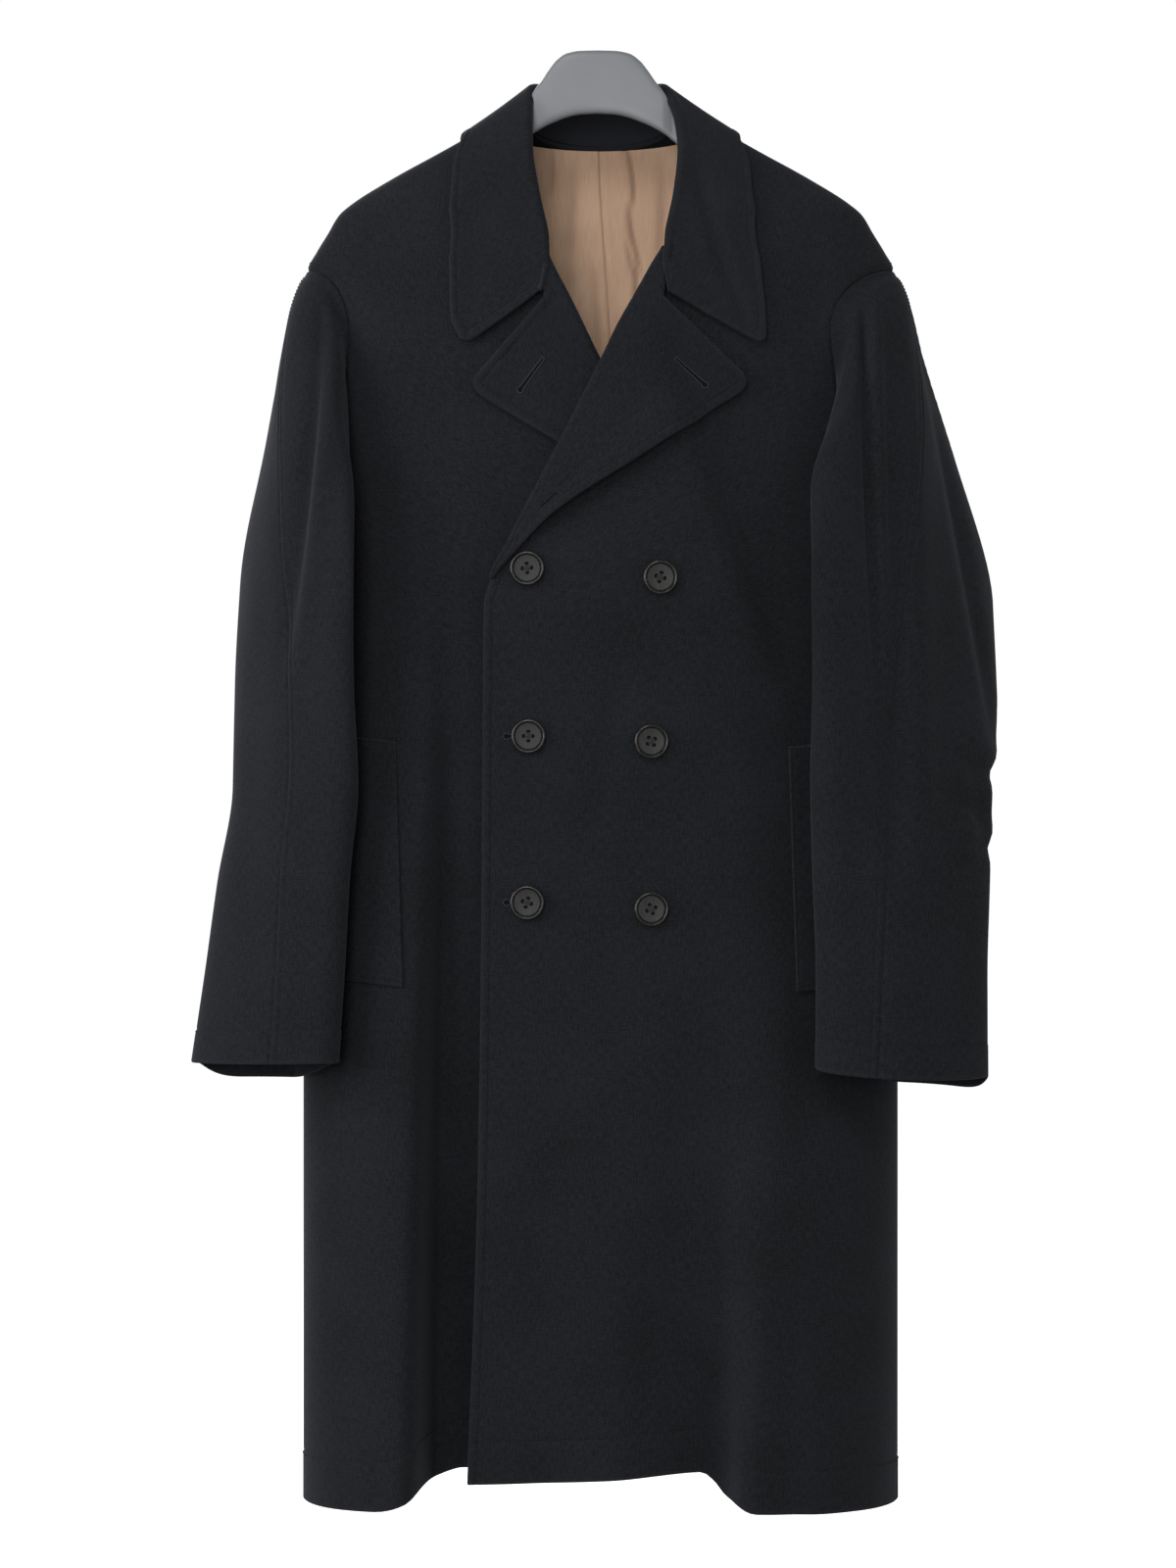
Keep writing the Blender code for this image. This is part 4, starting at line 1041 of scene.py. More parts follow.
@dataclass
class StitchRows:
    """Rows of stitches waiting to be made, each a line of points with its outward directions."""

    name: str
    rows: list[Line] = field(default_factory=list)
    pitch: float = 3.4
    length: float = 2.3
    radius: float = 0.36
    rise: float = 0.32
    sink: float = 0.12
    sides: int = 5
    swell: tuple[float, ...] = (0.35, 0.9, 1.0, 0.9, 0.35)

    def build(self, material: Material) -> Object:
        """Make every stitch: a short tapered tube that rises from the cloth and dips back into it.

        Its middle line follows the row and stands out by a cosine; its radius tapers to both ends.

        Args:
            material: the thread.

        Returns:
            One piece that holds all the stitches.
        """
        turn = np.arange(self.sides) * 2 * np.pi / self.sides
        reach = np.linspace(-0.5, 0.5, len(self.swell))
        lift = (self.rise * np.cos(np.pi * reach) - self.sink)[:, None]
        radius = self.radius * np.array(self.swell)[:, None, None]
        made = []
        for points, normals in self.rows:
            run = lengths(points[None])[0]
            places = np.arange(self.pitch / 2, run[-1], self.pitch)[:, None] + self.length * reach
            line, out = read_line(places, run, points), unit(read_line(places, run, normals))
            aside = unit(np.cross(unit(np.gradient(line, axis=1)), out))
            ring = np.cos(turn)[:, None] * aside[:, :, None] + np.sin(turn)[:, None] * out[:, :, None]
            made.append((line + out * lift)[:, :, None] + radius * ring)
        tubes = np.concatenate(made)
        number = numbered(tubes)
        ends = np.concatenate([number[:, 0, ::-1], number[:, -1]])
        faces = tube_quads(number).tolist() + ends.tolist()
        return place_mesh(self.name, tubes, faces, material)


Sewn = list[tuple[str, Wall, list[Line]]]


class SewnPiece:
    """A sub-assembly that is sewn from walls of cloth."""

    def sewn(self) -> Sewn:
        """Return the solid that each wall stands for, the wall and its rows of stitches."""
        raise NotImplementedError

    def build(self, finishes: Finishes, stitches: StitchRows) -> list[Wall]:
        """Make every wall, and hand on its rows of stitches.

        Args:
            finishes: the coat's materials.
            stitches: where the rows go.

        Returns:
            The walls.
        """
        made = self.sewn()
        for node, wall, rows in made:
            stitches.rows.extend(rows)
            wall.build(node, finishes)
        return [wall for _, wall, _ in made]


@dataclass
class FrontPanel(SewnPiece):
    """One front: shoulder seam, armhole and side seam, the free edge and the hem."""

    form: CoatForm
    side: Side
    hem: Table
    hem_depth: float
    upper_share: float = 0.25
    upper_rows: int = 58
    lower_rows: int = 136
    columns: int = 80
    length: float = 760.0
    edge_frees: tuple[float, float] = (402, 428)
    stitched_from: float = 424.0

    def __post_init__(self) -> None:
        """Work out the two sides of every row."""
        form, sign = self.form, self.side.sign
        near_hem = hem_rows(self.hem_depth)
        above, below = panel_rows(near_hem, self.upper_rows, self.lower_rows, self.length)
        side_turn, side_drop = form.armhole(above, self.side, Face.FORE)
        foot = self.hem.at("drop", sign * form.half_width(form.hem_drop))
        edge_foot = self.hem.at("drop", sign * form.front_edge.at("out", form.hem_drop))
        shares = np.concatenate([above * self.upper_share, self.upper_share + (1 - self.upper_share) * below])
        self.below = np.concatenate([np.zeros(len(above)), below])[:, None]
        self.edge_drop = between(form.neck_drop, edge_foot, shares)[:, None]
        self.edge_turn = form.turn_at(form.edge(self.edge_drop, self.side), self.edge_drop)
        self.side_turn = np.concatenate([side_turn, np.full(len(below), np.pi / 2)])[:, None]
        self.side_drop = np.concatenate([side_drop, between(form.underarm_drop, foot, below)])[:, None]
        self.hem_row = -1 - near_hem.index(self.hem_depth)

    def place(self, share: Array) -> tuple[Array, Array]:
        """Return places on the front, blended from edge to side and bent to the hem's line.

        Args:
            share: shares across, from the edge to the side.

        Returns:
            Turns and drops.
        """
        form, sign = self.form, self.side.sign
        turn = between(self.edge_turn, self.side_turn, share)
        drop = between(self.edge_drop, self.side_drop, share)
        last_turn = between(self.edge_turn[-1], self.side_turn[-1], share)
        last_drop = between(self.edge_drop[-1], self.side_drop[-1], share)
        hem = self.hem.at("drop", sign * form.half_width(form.hem_drop) * np.sin(last_turn))
        return sign * turn, drop + self.below * (hem - last_drop)

    def wall(self) -> Wall:
        """Shape the front: the form's surface with its edge, seams and hem in relief.

        Returns:
            The wall.
        """
        form, layer = self.form, self.side.layer
        share, run = paced(
            lambda s: form.points(*self.place(s), layer, False), (0, 1), NEAR_EDGE, NEAR_SEAM, self.columns)
        turn, drop = self.place(share)
        surface, normals = form.surface(turn, drop, layer)
        down = depths(surface)
        from_hem = down[-1] - down
        free = ramp(*self.edge_frees, drop)
        relief = EDGES.turned(run) * free + EDGES.seam(run[:, -1:] - run) + EDGES.seam(down)
        relief = relief + EDGES.hem(from_hem, self.hem_depth)
        middle = surface + (relief - form.cloth / 2)[..., None] * normals
        wear_light_satin = np.clip(EDGES.paler_tone(run) * free + EDGES.paler_tone(from_hem), 0, 1)
        return Wall(middle, form.cloth, self.side.sign, run, drop, EDGES.rim(run.shape, True), wear_light_satin)

    def sewn(self) -> Sewn:
        """Shape the front, stitched along its edge, its hem and its armhole.

        Returns:
            Each solid's name, its wall and its rows of stitches.
        """
        wall = self.wall()
        below_break, upper = self.edge_drop[:, 0] > self.stitched_from, self.below[:, 0] == 0
        return [("front_" + self.side.value, wall, [
            wall.row(below_break, STITCH_COLUMN), wall.row(self.hem_row), wall.row(upper, -1 - SEAM_STITCH)])]


@dataclass
class BackPanel(SewnPiece):
    """The back in one piece, and the lining that hangs inside it."""

    form: CoatForm
    hem: Table = Table("x drop", ((-236, 1148), (-120, 1141), (0, 1138), (120, 1141), (236, 1148)))
    hem_depth: float = 34.0
    upper_share: float = 0.25
    upper_rows: int = 56
    lower_rows: int = 132
    columns: int = 92
    length: float = 715.0
    neck_share: float = 3 / 11
    lining_cloth: float = 1.0
    lining_gap: float = 2.4
    lining_inset: float = 0.045
    lining_reach: float = 10 / 11
    lining_rise: float = 45.0
    lining_sink: float = 4.0
    lining_sag: float = 12.0
    lining_columns: int = 181
    lining_crowding: float = 1.8
    lining_seam: tuple[float, float] = (-1.5, 8.0)
    lining_seam_drops: tuple[float, float] = (60, 250)
    lining_seam_width: float = 0.8
    # Painted shade on the lining: its strength along the centre seam and beside the wrinkles.
    lining_seam_shade: float = 0.6
    lining_crease_shade: float = 0.3
    lining_pleat: float = 0.55
    lining_creases: tuple[Crease, ...] = (
        Crease(15, 58, 24, 120, 4, 2.4, 2.2), Crease(20, 108, 34, 172, -3, 2.4, 2.4),
        Crease(19, 140, 27, 172, -1, 2.0, 1.8), Crease(26, 150, 22, 216, 2, 2.6, 1.6),
        Crease(-42, 62, -41, 108, 1, 2.2, 1.4), Crease(-24, 66, -30, 210, -2, 6.0, 0.9),
        Crease(44, 70, 40, 190, 3, 5.0, 1.1), Crease(-12, 150, -4, 260, 2, 4.0, 0.8),
        Crease(30, 200, 12, 330, 3, 6.0, 1.2), Crease(-60, 260, -40, 520, 5, 12, 1.6),
        Crease(70, 280, 50, 560, -5, 11, 1.6), Crease(0, 430, 14, 1000, 6, 12, 1.5),
        Crease(-110, 500, -120, 1080, 6, 14, 1.6), Crease(120, 520, 112, 1080, -6, 14, 1.5),
    )

    def __post_init__(self) -> None:
        """Work out the rows."""
        near_hem = hem_rows(self.hem_depth)
        self.above, self.below = panel_rows(near_hem, self.upper_rows, self.lower_rows, self.length)
        upper, lower = self.above * self.upper_share, self.upper_share + (1 - self.upper_share) * self.below
        self.shares = np.concatenate([upper, lower])[:, None]
        self.hem_row = -1 - near_hem.index(self.hem_depth)

    def place(self, share: Array) -> tuple[Array, Array]:
        """Return turns and drops at shares across, from the right side (-1) to the left (1).

        Out and drop blend from the neck and shoulder line to the underarm's level, then to the hem.

        Args:
            share: shares across, with a row for every level or one row for all.

        Returns:
            Turns and drops.
        """
        form = self.form
        share = np.broadcast_to(share, (len(self.shares), share.shape[1]))
        size = np.abs(share)
        neck_out, neck_drop = form.neck(np.clip(size / self.neck_share, 0, 1))
        beyond = np.clip((size - self.neck_share) / (1 - self.neck_share), 0, 1)
        shoulder_drop = between(form.neck_drop, form.shoulder_drop, beyond)
        on_neck = size < self.neck_share
        top_out = np.where(on_neck, neck_out, form.half_width(shoulder_drop))
        top_drop = np.where(on_neck, neck_drop, shoulder_drop)
        side_turn, side_drop = form.armhole(self.above, Side.LEFT, Face.HIND)
        side_out = form.half_width(side_drop) * np.sin(side_turn)
        upper, lower = slice(0, len(self.above)), slice(len(self.above), None)
        above = self.above[:, None]
        level_out = form.half_width(form.underarm_drop) * np.sin(size * np.pi / 2)
        last_out = between(form.half_width(form.shoulder_drop), form.half_width(form.underarm_drop), above)
        out = between(top_out[upper], level_out[upper], above) + size[upper] * (side_out[:, None] - last_out)
        last_drop = between(form.shoulder_drop, form.underarm_drop, above)
        drop = between(top_drop[upper], form.underarm_drop, above) + size[upper] * (side_drop[:, None] - last_drop)
        hem = self.hem.at("drop", np.sign(share[lower]) * level_out[lower])
        out = np.concatenate([out, level_out[lower]])
        drop = np.concatenate([drop, between(form.underarm_drop, hem, self.below[:, None])])
        return np.pi - np.where(share < 0, -1, 1) * form.turn_at(out, drop), drop

    def wall(self) -> Wall:
        """Shape the back: the form's surface with its seams and hem in relief.

        Returns:
            The wall.
        """
        form = self.form
        share, run = paced(
            lambda s: form.points(*self.place(s), Layer.BACK, False), (-1, 1), NEAR_SEAM, NEAR_SEAM, self.columns)
        turn, drop = self.place(share)
        surface, normals = form.surface(turn, drop, Layer.BACK)
        down = depths(surface)
        from_hem = down[-1] - down
        relief = EDGES.seam(run) + EDGES.seam(run[:, -1:] - run) + EDGES.seam(down)
        relief = relief + EDGES.hem(from_hem, self.hem_depth)
        middle = surface + (relief - form.cloth / 2)[..., None] * normals
        return Wall(middle, form.cloth, -1.0, run, drop, EDGES.rim(run.shape), EDGES.paler_tone(from_hem))

    def lining(self) -> Wall:
        """Shape the lining: the back's surface moved in, with wrinkles, a pleated centre seam, and painted shade
        along the seam and beside each wrinkle.

        Its top is sunk below the neckline, more so at the sides, by the square of the share across. Columns crowd
        at the centre, where the wrinkles show.

        Returns:
            The wall.
        """
        form = self.form
        even = np.linspace(-1, 1, self.lining_columns)[None, :]
        share = self.lining_reach * np.sign(even) * np.abs(even) ** self.lining_crowding
        turn, drop = self.place(share)
        turn = turn + self.lining_inset * share * (1 - self.shares) ** 4
        lower = self.lining_sink + self.lining_sag * np.clip(np.abs(share) / self.neck_share, 0, 1) ** 2
        drop = drop + between(0.0, -self.lining_rise, self.shares) + lower * (1 - self.shares) ** 12
        base, normals = form.surface(turn, drop, Layer.BACK, False)
        x = base[..., 0]
        seam = x - between(*self.lining_seam, ramp(*self.lining_seam_drops, drop))
        stitched = bell(seam, self.lining_seam_width)
        # Painted shade: a darker tan along the seam line and on one side of each wrinkle, where its shadow falls.
        beside = sum(crease.height(x - 0.7 * crease.width, drop) for crease in self.lining_creases)
        shade = self.lining_seam_shade * stitched + self.lining_crease_shade * np.clip(beside, 0, 1.6)
        wrinkles = sum(crease.height(x, drop) for crease in self.lining_creases)
        pleat = ramp(-1.2, 0.4, seam) * (1 - ramp(5, 9, seam))
        wrinkles = wrinkles + self.lining_pleat * pleat - 0.3 * stitched
        inward = form.cloth + self.lining_gap + self.lining_cloth / 2 + wrinkles
        run, centre = lengths(base), self.lining_columns // 2
        return Wall(base - inward[..., None] * normals, self.lining_cloth, 1.0, run - run[:, centre:centre + 1], drop,
                    0.3, shade, Cloth.LINING)

    def sewn(self) -> Sewn:
        """Shape the back, stitched along its hem and armholes, and its lining.

        Returns:
            Each solid's name, its wall and its rows of stitches.
        """
        wall, upper = self.wall(), slice(0, len(self.above))
        rows = [wall.row(self.hem_row), wall.row(upper, SEAM_STITCH), wall.row(upper, -1 - SEAM_STITCH)]
        return [("back", wall, rows), ("back_lining", self.lining(), [])]


SLEEVE_COLUMNS = "station drop out forward wide thick turn tilt front_rise seam_turn armhole_share"


@dataclass
class Sleeve(SewnPiece):
    """A sleeve in two halves, a flattened tube from the armhole to the cuff.

    Each crease comes with the way it faces: forwards above zero, backwards below it, all round at zero.
    """

    form: CoatForm
    side: Side
    rings: Table
    creases: tuple[tuple[Crease, float], ...]
    front_fold: Table
    cuff_tilt: float
    cuff_rise: float
    lip_turn: float
    cuff_lip: float
    hem_depth: float = 25.0
    hem_lead: float = 2.0
    clearance: float = 9.0
    seam_gap: float = 0.42
    underarm_gap: float = 1.6
    allowance: float = 5.0
    allowance_depth: float = 2.0
    around: int = 120
    foot_length: float = 72.0
    ridge_fore: float = 0.8
    ridge_hind: float = 0.2
    ridge_starts: tuple[float, float] = (30, 90)
    crease_starts: float = 40.0
    cuff_stations: tuple[float, float] = (7, 9)
    tuck_rows: tuple[float, float] = (-0.08, -0.04)
    cap_rows: int = 15
    cap_end: float = 0.4
    arm_rows: int = 104
    columns: int = 70

    def clear_of_body(self, points: Array, clearance: Array) -> Array:
        """Move points that lie too near the body out along its surface direction.

        The body is the level where (x / width)^2 + (y / depth)^power is one; points below that level plus the
        clearance move up its slope.

        Args:
            points: points to move.
            clearance: least distance from the body.

        Returns:
            The moved points.
        """
        form = self.form
        moved = points.copy()
        power = 2 / form.roundness
        for _ in range(6):
            x, y = moved[..., 0], moved[..., 1]
            drop = np.clip(-moved[..., 2], form.neck_drop, form.hem_drop)
            width = form.half_width(drop)
            front = form.sections.at("front_depth", drop) + np.maximum(form.folds(self.side.layer, x, drop), 0)
            depth = np.where(y < 0, front, form.sections.at("back_depth", drop))
            level = (x / width) ** 2 + (np.abs(y) / depth) ** power
            slope_x = 2 * x / width**2
            slope_y = power * (np.abs(y) / depth) ** (power - 1) / depth * np.sign(y)
            steep = np.hypot(slope_x, slope_y)
            push = np.clip((1 + steep * clearance - level) / steep, 0, 12)
            moved[..., 0] += push * slope_x / steep
            moved[..., 1] += push * slope_y / steep
        return moved

    def seam(self) -> tuple[Array, Array, Array]:
        """Find the armhole seam, from the overarm round the front.

        Returns:
            The seam, its allowance's edge and its ring angles.
        """
        share = np.linspace(0, 1, self.around + 1)
        halves = []
        for face, order in ((Face.FORE, slice(None)), (Face.HIND, slice(-2, 0, -1))):
            turn, drop = self.form.armhole(share, self.side, face)
            layer = self.side.layer if face is Face.FORE else Layer.BACK
            surface = self.form.surface(self.side.sign * turn, drop, layer, False)
            halves.append([values[order] for values in surface])
        points, normals = (np.concatenate(values) for values in zip(*halves))
        along = unit(np.roll(points, -1, axis=0) - np.roll(points, 1, axis=0))
        into = unit(np.cross(normals, along))
        into = into * np.sign(np.sum(into * (points.mean(axis=0) - points)))
        angle = np.pi * np.concatenate([share, 2 - share[-2:0:-1]])
        under = np.sin(angle / 2)[:, None] ** 8
        seam = points + self.seam_gap * into + self.underarm_gap * under * normals
        return seam, seam - self.allowance * into, angle

    def tube(self) -> Array:
        """Return the sleeve's outer rings from the armhole to the cuff.

        Each ring is an ellipse, turned towards the front and tilted up at the overarm, blended into the armhole
        seam near the top. The front is drawn in over the body by the fold's shift, times the squared sine of the
        place round the ring, and part of the cuff's edge hangs lower by a lip.

        Returns:
            Points with a row for the seam allowance, the seam and every ring of the table.
        """
        sign = self.side.sign
        seam, tucked, angle = self.seam()
        rings = {name: self.rings.column(name)[:, None] for name in self.rings.names.split()}
        twist = np.radians(rings["turn"])
        place = angle + np.radians(rings["seam_turn"])
        wide, thick = rings["wide"] * np.sin(place), rings["thick"] * np.cos(place)
        out = rings["out"] - wide * np.sin(twist) + thick * np.cos(twist)
        y = -rings["forward"] - wide * np.cos(twist) - thick * np.sin(twist)
        z = -rings["drop"] + rings["tilt"] * np.cos(angle) + rings["front_rise"] * np.sin(place)
        hanging = np.stack([sign * out, y, z], axis=-1)
        hanging = between(hanging, seam, rings["armhole_share"][..., None])
        front = np.clip(np.sin(place), 0, 1) ** 2 * (1 - rings["armhole_share"]) ** 0.5
        hanging[..., 0] -= sign * self.front_fold.at("shift", -hanging[..., 2]) * front
        cuff = ramp(*self.cuff_stations, rings["station"])
        lip = self.cuff_lip * ramp(0.25, 0.95, np.cos(place - math.radians(self.lip_turn)))
        hanging[..., 2] += cuff * (self.cuff_tilt * np.cos(angle) + self.cuff_rise * np.sin(place) - lip)
        clearance = self.clearance * ramp(-0.5, 2.5, np.arange(1, len(hanging) + 1))[:, None]
        return np.concatenate([tucked[None], seam[None], self.clear_of_body(hanging, clearance)])

    def grid(self, face: Face) -> tuple[Array, Array]:
        """Space out one half: rows on smooth curves through the rings, columns set in from the two seams.

        Args:
            face: which half.

        Returns:
            Outer points and their distances from the first seam.
        """
        rings = self.tube()
        last = len(rings) - 2
        foot = last - np.array(hem_rows(self.hem_depth, self.hem_lead))[::-1] / self.foot_length
        cap = np.linspace(0, self.cap_end, self.cap_rows)[:-1]
        arm = np.linspace(self.cap_end, foot[0], self.arm_rows)[:-1]
        rows = np.concatenate([self.tuck_rows, cap, arm, foot])
        columns = np.arange(2 * self.around + 1) % (2 * self.around)
        half = columns[:self.around + 1] if face is Face.FORE else columns[self.around:]
        fine = smooth(np.concatenate([self.tuck_rows[:1], np.arange(last + 1)]), rings[:, half], rows)
        run = lengths(fine)
        goals = spaced(run[:, -1:], NEAR_SEAM, NEAR_SEAM, self.columns)
        return np.stack([read_line(*row) for row in zip(goals, run, fine)]), goals

    def wall(self, face: Face) -> Wall:
        """Shape one half, with its seams, hem and creases in relief.

        Args:
            face: which half.

        Returns:
            The wall.
        """
        form = self.form
        outer, goals = self.grid(face)
        x, drop = outer[..., 0], -outer[..., 2]
        wall = Wall(outer, form.cloth, 1.0, goals, drop, EDGES.rim(goals.shape))
        _, _, out, forward, *_ = self.rings.rows[-1]
        centre = np.array([self.side.sign * out, -forward, 0])
        wall.turn_out((outer[-1] - centre) * np.array([1, 1, 0]), -1)
        normals = wall.normals()
        down = depths(outer)
        down = down - down[len(self.tuck_rows)]
        from_hem = down[-1] - down
        relief = EDGES.seam(goals) + EDGES.seam(goals[:, -1:] - goals)
        relief = relief - self.allowance_depth * bell(np.maximum(down, 0), EDGES.furrow_width)
        relief = relief + EDGES.hem(from_hem, self.hem_depth)
        fore = face is Face.FORE
        overarm = goals if fore else goals[:, -1:] - goals
        raised = self.ridge_fore if fore else self.ridge_hind
        relief = relief + EDGES.turned(overarm) * ramp(*self.ridge_starts, down) * raised
        fade = ramp(0, self.crease_starts, down)
        for crease, front in self.creases:
            seen = ramp(0.05, 0.6, -front * normals[..., 1]) if front else 1.0
            relief = relief + crease.height(x, drop) * seen * fade
        relief = relief + 0.8 * form.unevenness(1.3 * x + 40, drop + 1.5 * outer[..., 1]) * fade
        wall.middle = outer + (relief - form.cloth / 2)[..., None] * normals
        wall.wear_light_satin = EDGES.paler_tone(from_hem)
        return wall

    def sewn(self) -> Sewn:
        """Shape both halves, stitched along the hem, and the fore half along the overarm below its cap.

        Returns:
            Each solid's name, its wall and its rows of stitches.
        """
        fore, hind = self.wall(Face.FORE), self.wall(Face.HIND)
        hem_row = -1 - hem_rows(self.hem_depth, self.hem_lead).index(self.hem_depth)
        below_cap = slice(len(self.tuck_rows) + self.cap_rows - 1, None)
        name = f"sleeve_{self.side.value}_"
        return [
            (name + Face.FORE.value, fore, [fore.row(hem_row), fore.row(below_cap, SEAM_STITCH)]),
            (name + Face.HIND.value, hind, [hind.row(hem_row)])]


def contour(wall: Wall, rows: slice, depth: Array, from_edge: Array, reach: float) -> Line:
    """Find a row of stitches at the inset from a piece's end.

    Each column is read at the place where its depth from that end is the inset.

    Args:
        wall: the piece.
        rows: its rows from that end.
        depth: distance of each point from the end.
        from_edge: distance of each point from the last column.
        reach: furthest distance from the last column.

    Returns:
        Points of the row and their outward directions.
    """
    depth, from_edge = depth[rows], from_edge[rows]
    kept = np.flatnonzero((from_edge[0] > EDGES.inset) & (from_edge[0] < reach))
    outer, normals = (
        np.stack([read_line(EDGES.inset, depth[:, column], values[:, column]) for column in kept])
        for values in wall.row(rows))
    return outer, normals


@dataclass
class Collar(SewnPiece):
    """The collar: a stand round the neck, and a leaf that rolls over it and falls to its edge."""

    form: CoatForm
    stations: Table = Table("place fold_left fold_right fold_y fold_z edge_left edge_right edge_drop height", (
        (-1.0, 0, 0, 61, -20, 0, 0, 92, 5), (-0.6, 27, 27, 55, -20, 50, 50, 90, 5),
        (-0.3, 42, 44, 35, -23, 88, 88, 81, 4), (0.0, 48, 52, 4, -28, 106, 106, 69, 2.8),
        (0.2, 59, 55.5, -17, -48, 115, 114, 93, 4), (0.45, 62.5, 55, -35, -80, 119, 117, 128, 6),
        (0.7, 59, 50, -48, -115, 123, 117, 172, 6), (1.0, 50.5, 41.5, -60.5, -157, 127, 115, 220, 7),
        (1.12, 47.5, 39.5, -65.5, -178, 127, 110, 232, 7.3), (1.25, 50, 43.5, -71.5, -200, 127, 106, 241, 7.5)))
    cloth: float = 3.0
    stand_cloth: float = 2.0
    # Painted light: the share of the paler wool tone laid over the whole stand, to lift its shadowed band.
    stand_painted_light: float = 0.75
    roll: float = 3.5
    gorge_left: float = 156.8
    gorge_right: float = 155.6
    stand_end: float = 0.75
    stand_foot_gap: float = 2.1
    stand_tuck: float = -4.4
    stand_top_gap: float = 2.6
    fold_step: float = 0.06
    end_place: float = 1.25
    stand_rows: int = 70
    back_rows: int = 100
    front_rows: int = 44
    front_place: float = 1.06
    roll_columns: int = 13
    fall_columns: int = 22
    roll_starts: tuple[float, float] = (-58.0, 65.0)
    hollow: float = 0.6
    tip_radius: float = 8.0
    tip_rows: int = 60
    end_length: float = 62.0
    stitch_reach: float = 54.0
    creases: tuple[Crease, ...] = (
        Crease(72, 82, 119, 236, -5, 5.5, -2.6), Crease(88, 60, 118, 170, -3, 9, 0.9),
        Crease(-92, 90, -84, 230, 4, 12, 0.8), Crease(-62, 110, -58, 190, 3, 9, -0.7))

    def seam(self, side: Side, place: Array) -> Array:
        """Return the middle of the panels' neck edge.

        Args:
            side: which half.
            place: -1 at the centre back, 0 at the neck point and 1 at the gorge.

        Returns:
            Its points.
        """
        form = self.form
        neck_out, neck_drop = form.neck(np.clip(1 + place, 0, 1))
        gorge = self.gorge_left if side is Side.LEFT else self.gorge_right
        front_drop = between(form.neck_drop, gorge, np.clip(place, 0, 1))
        back = form.surface(np.pi - form.turn_at(neck_out, neck_drop), neck_drop, Layer.BACK, False)
        front_turn = form.turn_at(form.edge(front_drop, side), front_drop)
        front = form.surface(front_turn, front_drop, Layer.UNDER, False)
        edges = (points - form.cloth / 2 * normals for points, normals in (back, front))
        return np.where((place < 0)[:, None], *edges)

    def fold(self, side: Side, place: Array) -> Array:
        """Return the line along which the collar folds over."""
        return np.stack([self.stations.at(n, place) for n in ("fold_" + side.value, "fold_y", "fold_z")], axis=-1)

    def edge(self, side: Side, place: Array) -> Array:
        """Return the leaf's outer edge, which lies on the shoulders at its own height.

        Args:
            side: which half.
            place: stations along the collar.

        Returns:
            Its points.
        """
        form, places = self.form, self.stations.column("place")
        drops = self.stations.column("edge_drop")
        turns = form.turn_at(self.stations.column("edge_" + side.value), drops)
        turn = smooth(places, np.where(places < 0, np.pi - turns, turns), place)
        points, normals = form.surface(turn, smooth(places, drops, place), Layer.UNDER, False)
        return points + self.stations.at("height", place)[:, None] * normals

    def frame(self, side: Side, place: Array) -> tuple[Array, Array, Array, Array, Array]:
        """Return the neck seam, the roll's centre, its two directions and the leaf's edge.

        The roll's directions are square to the fold line and halve the angle between stand and leaf.

        Args:
            side: which half.
            place: stations along the collar.

        Returns:
            Five arrays of points or directions.
        """
        seam, fold, edge = self.seam(side, place), self.fold(side, place), self.edge(side, place)
        along = unit(self.fold(side, place + self.fold_step) - self.fold(side, place - self.fold_step))
        to_seam = square_to(seam - fold, along)
        to_seam[place > 1] = to_seam[place <= 1][-1]
        to_edge = square_to(edge - fold, along)
        apex = -unit(to_seam + to_edge)
        return seam, fold - self.roll * apex, apex, square_to(to_edge, apex), edge

    def both(self, half: Callable[[Side], tuple[Array, ...]]) -> list[Array]:
        """Join the right half, mirrored, and the left half of a strip at the centre back.

        Args:
            half: gives a half's points and distances.

        Returns:
            The same for the whole strip.
        """
        joined = []
        for right, left in zip(half(Side.RIGHT), half(Side.LEFT)):
            if right.ndim == 3:
                right = right * np.array([-1.0, 1.0, 1.0])
            joined.append(np.concatenate([right[:0:-1], left]))
        return joined

    def stand_half(self, side: Side) -> tuple[Array]:
        """Shape half the stand, straight from the neck seam up to the roll and tucked behind the lining at the back.

        Args:
            side: which half.

        Returns:
            Its middle.
        """
        place = np.linspace(-1, self.stand_end, self.stand_rows)
        seam, centre, _, aside, _ = self.frame(side, place)
        top = centre - self.roll * aside
        rise = unit(top - seam)
        foot = between(self.stand_tuck, self.stand_foot_gap, ramp(-0.45, -0.05, place))[:, None]
        start, end = seam + foot * rise, top - self.stand_top_gap * rise
        return (between(start[:, None], end[:, None], np.linspace(0, 1, self.roll_columns)[:, None]),)

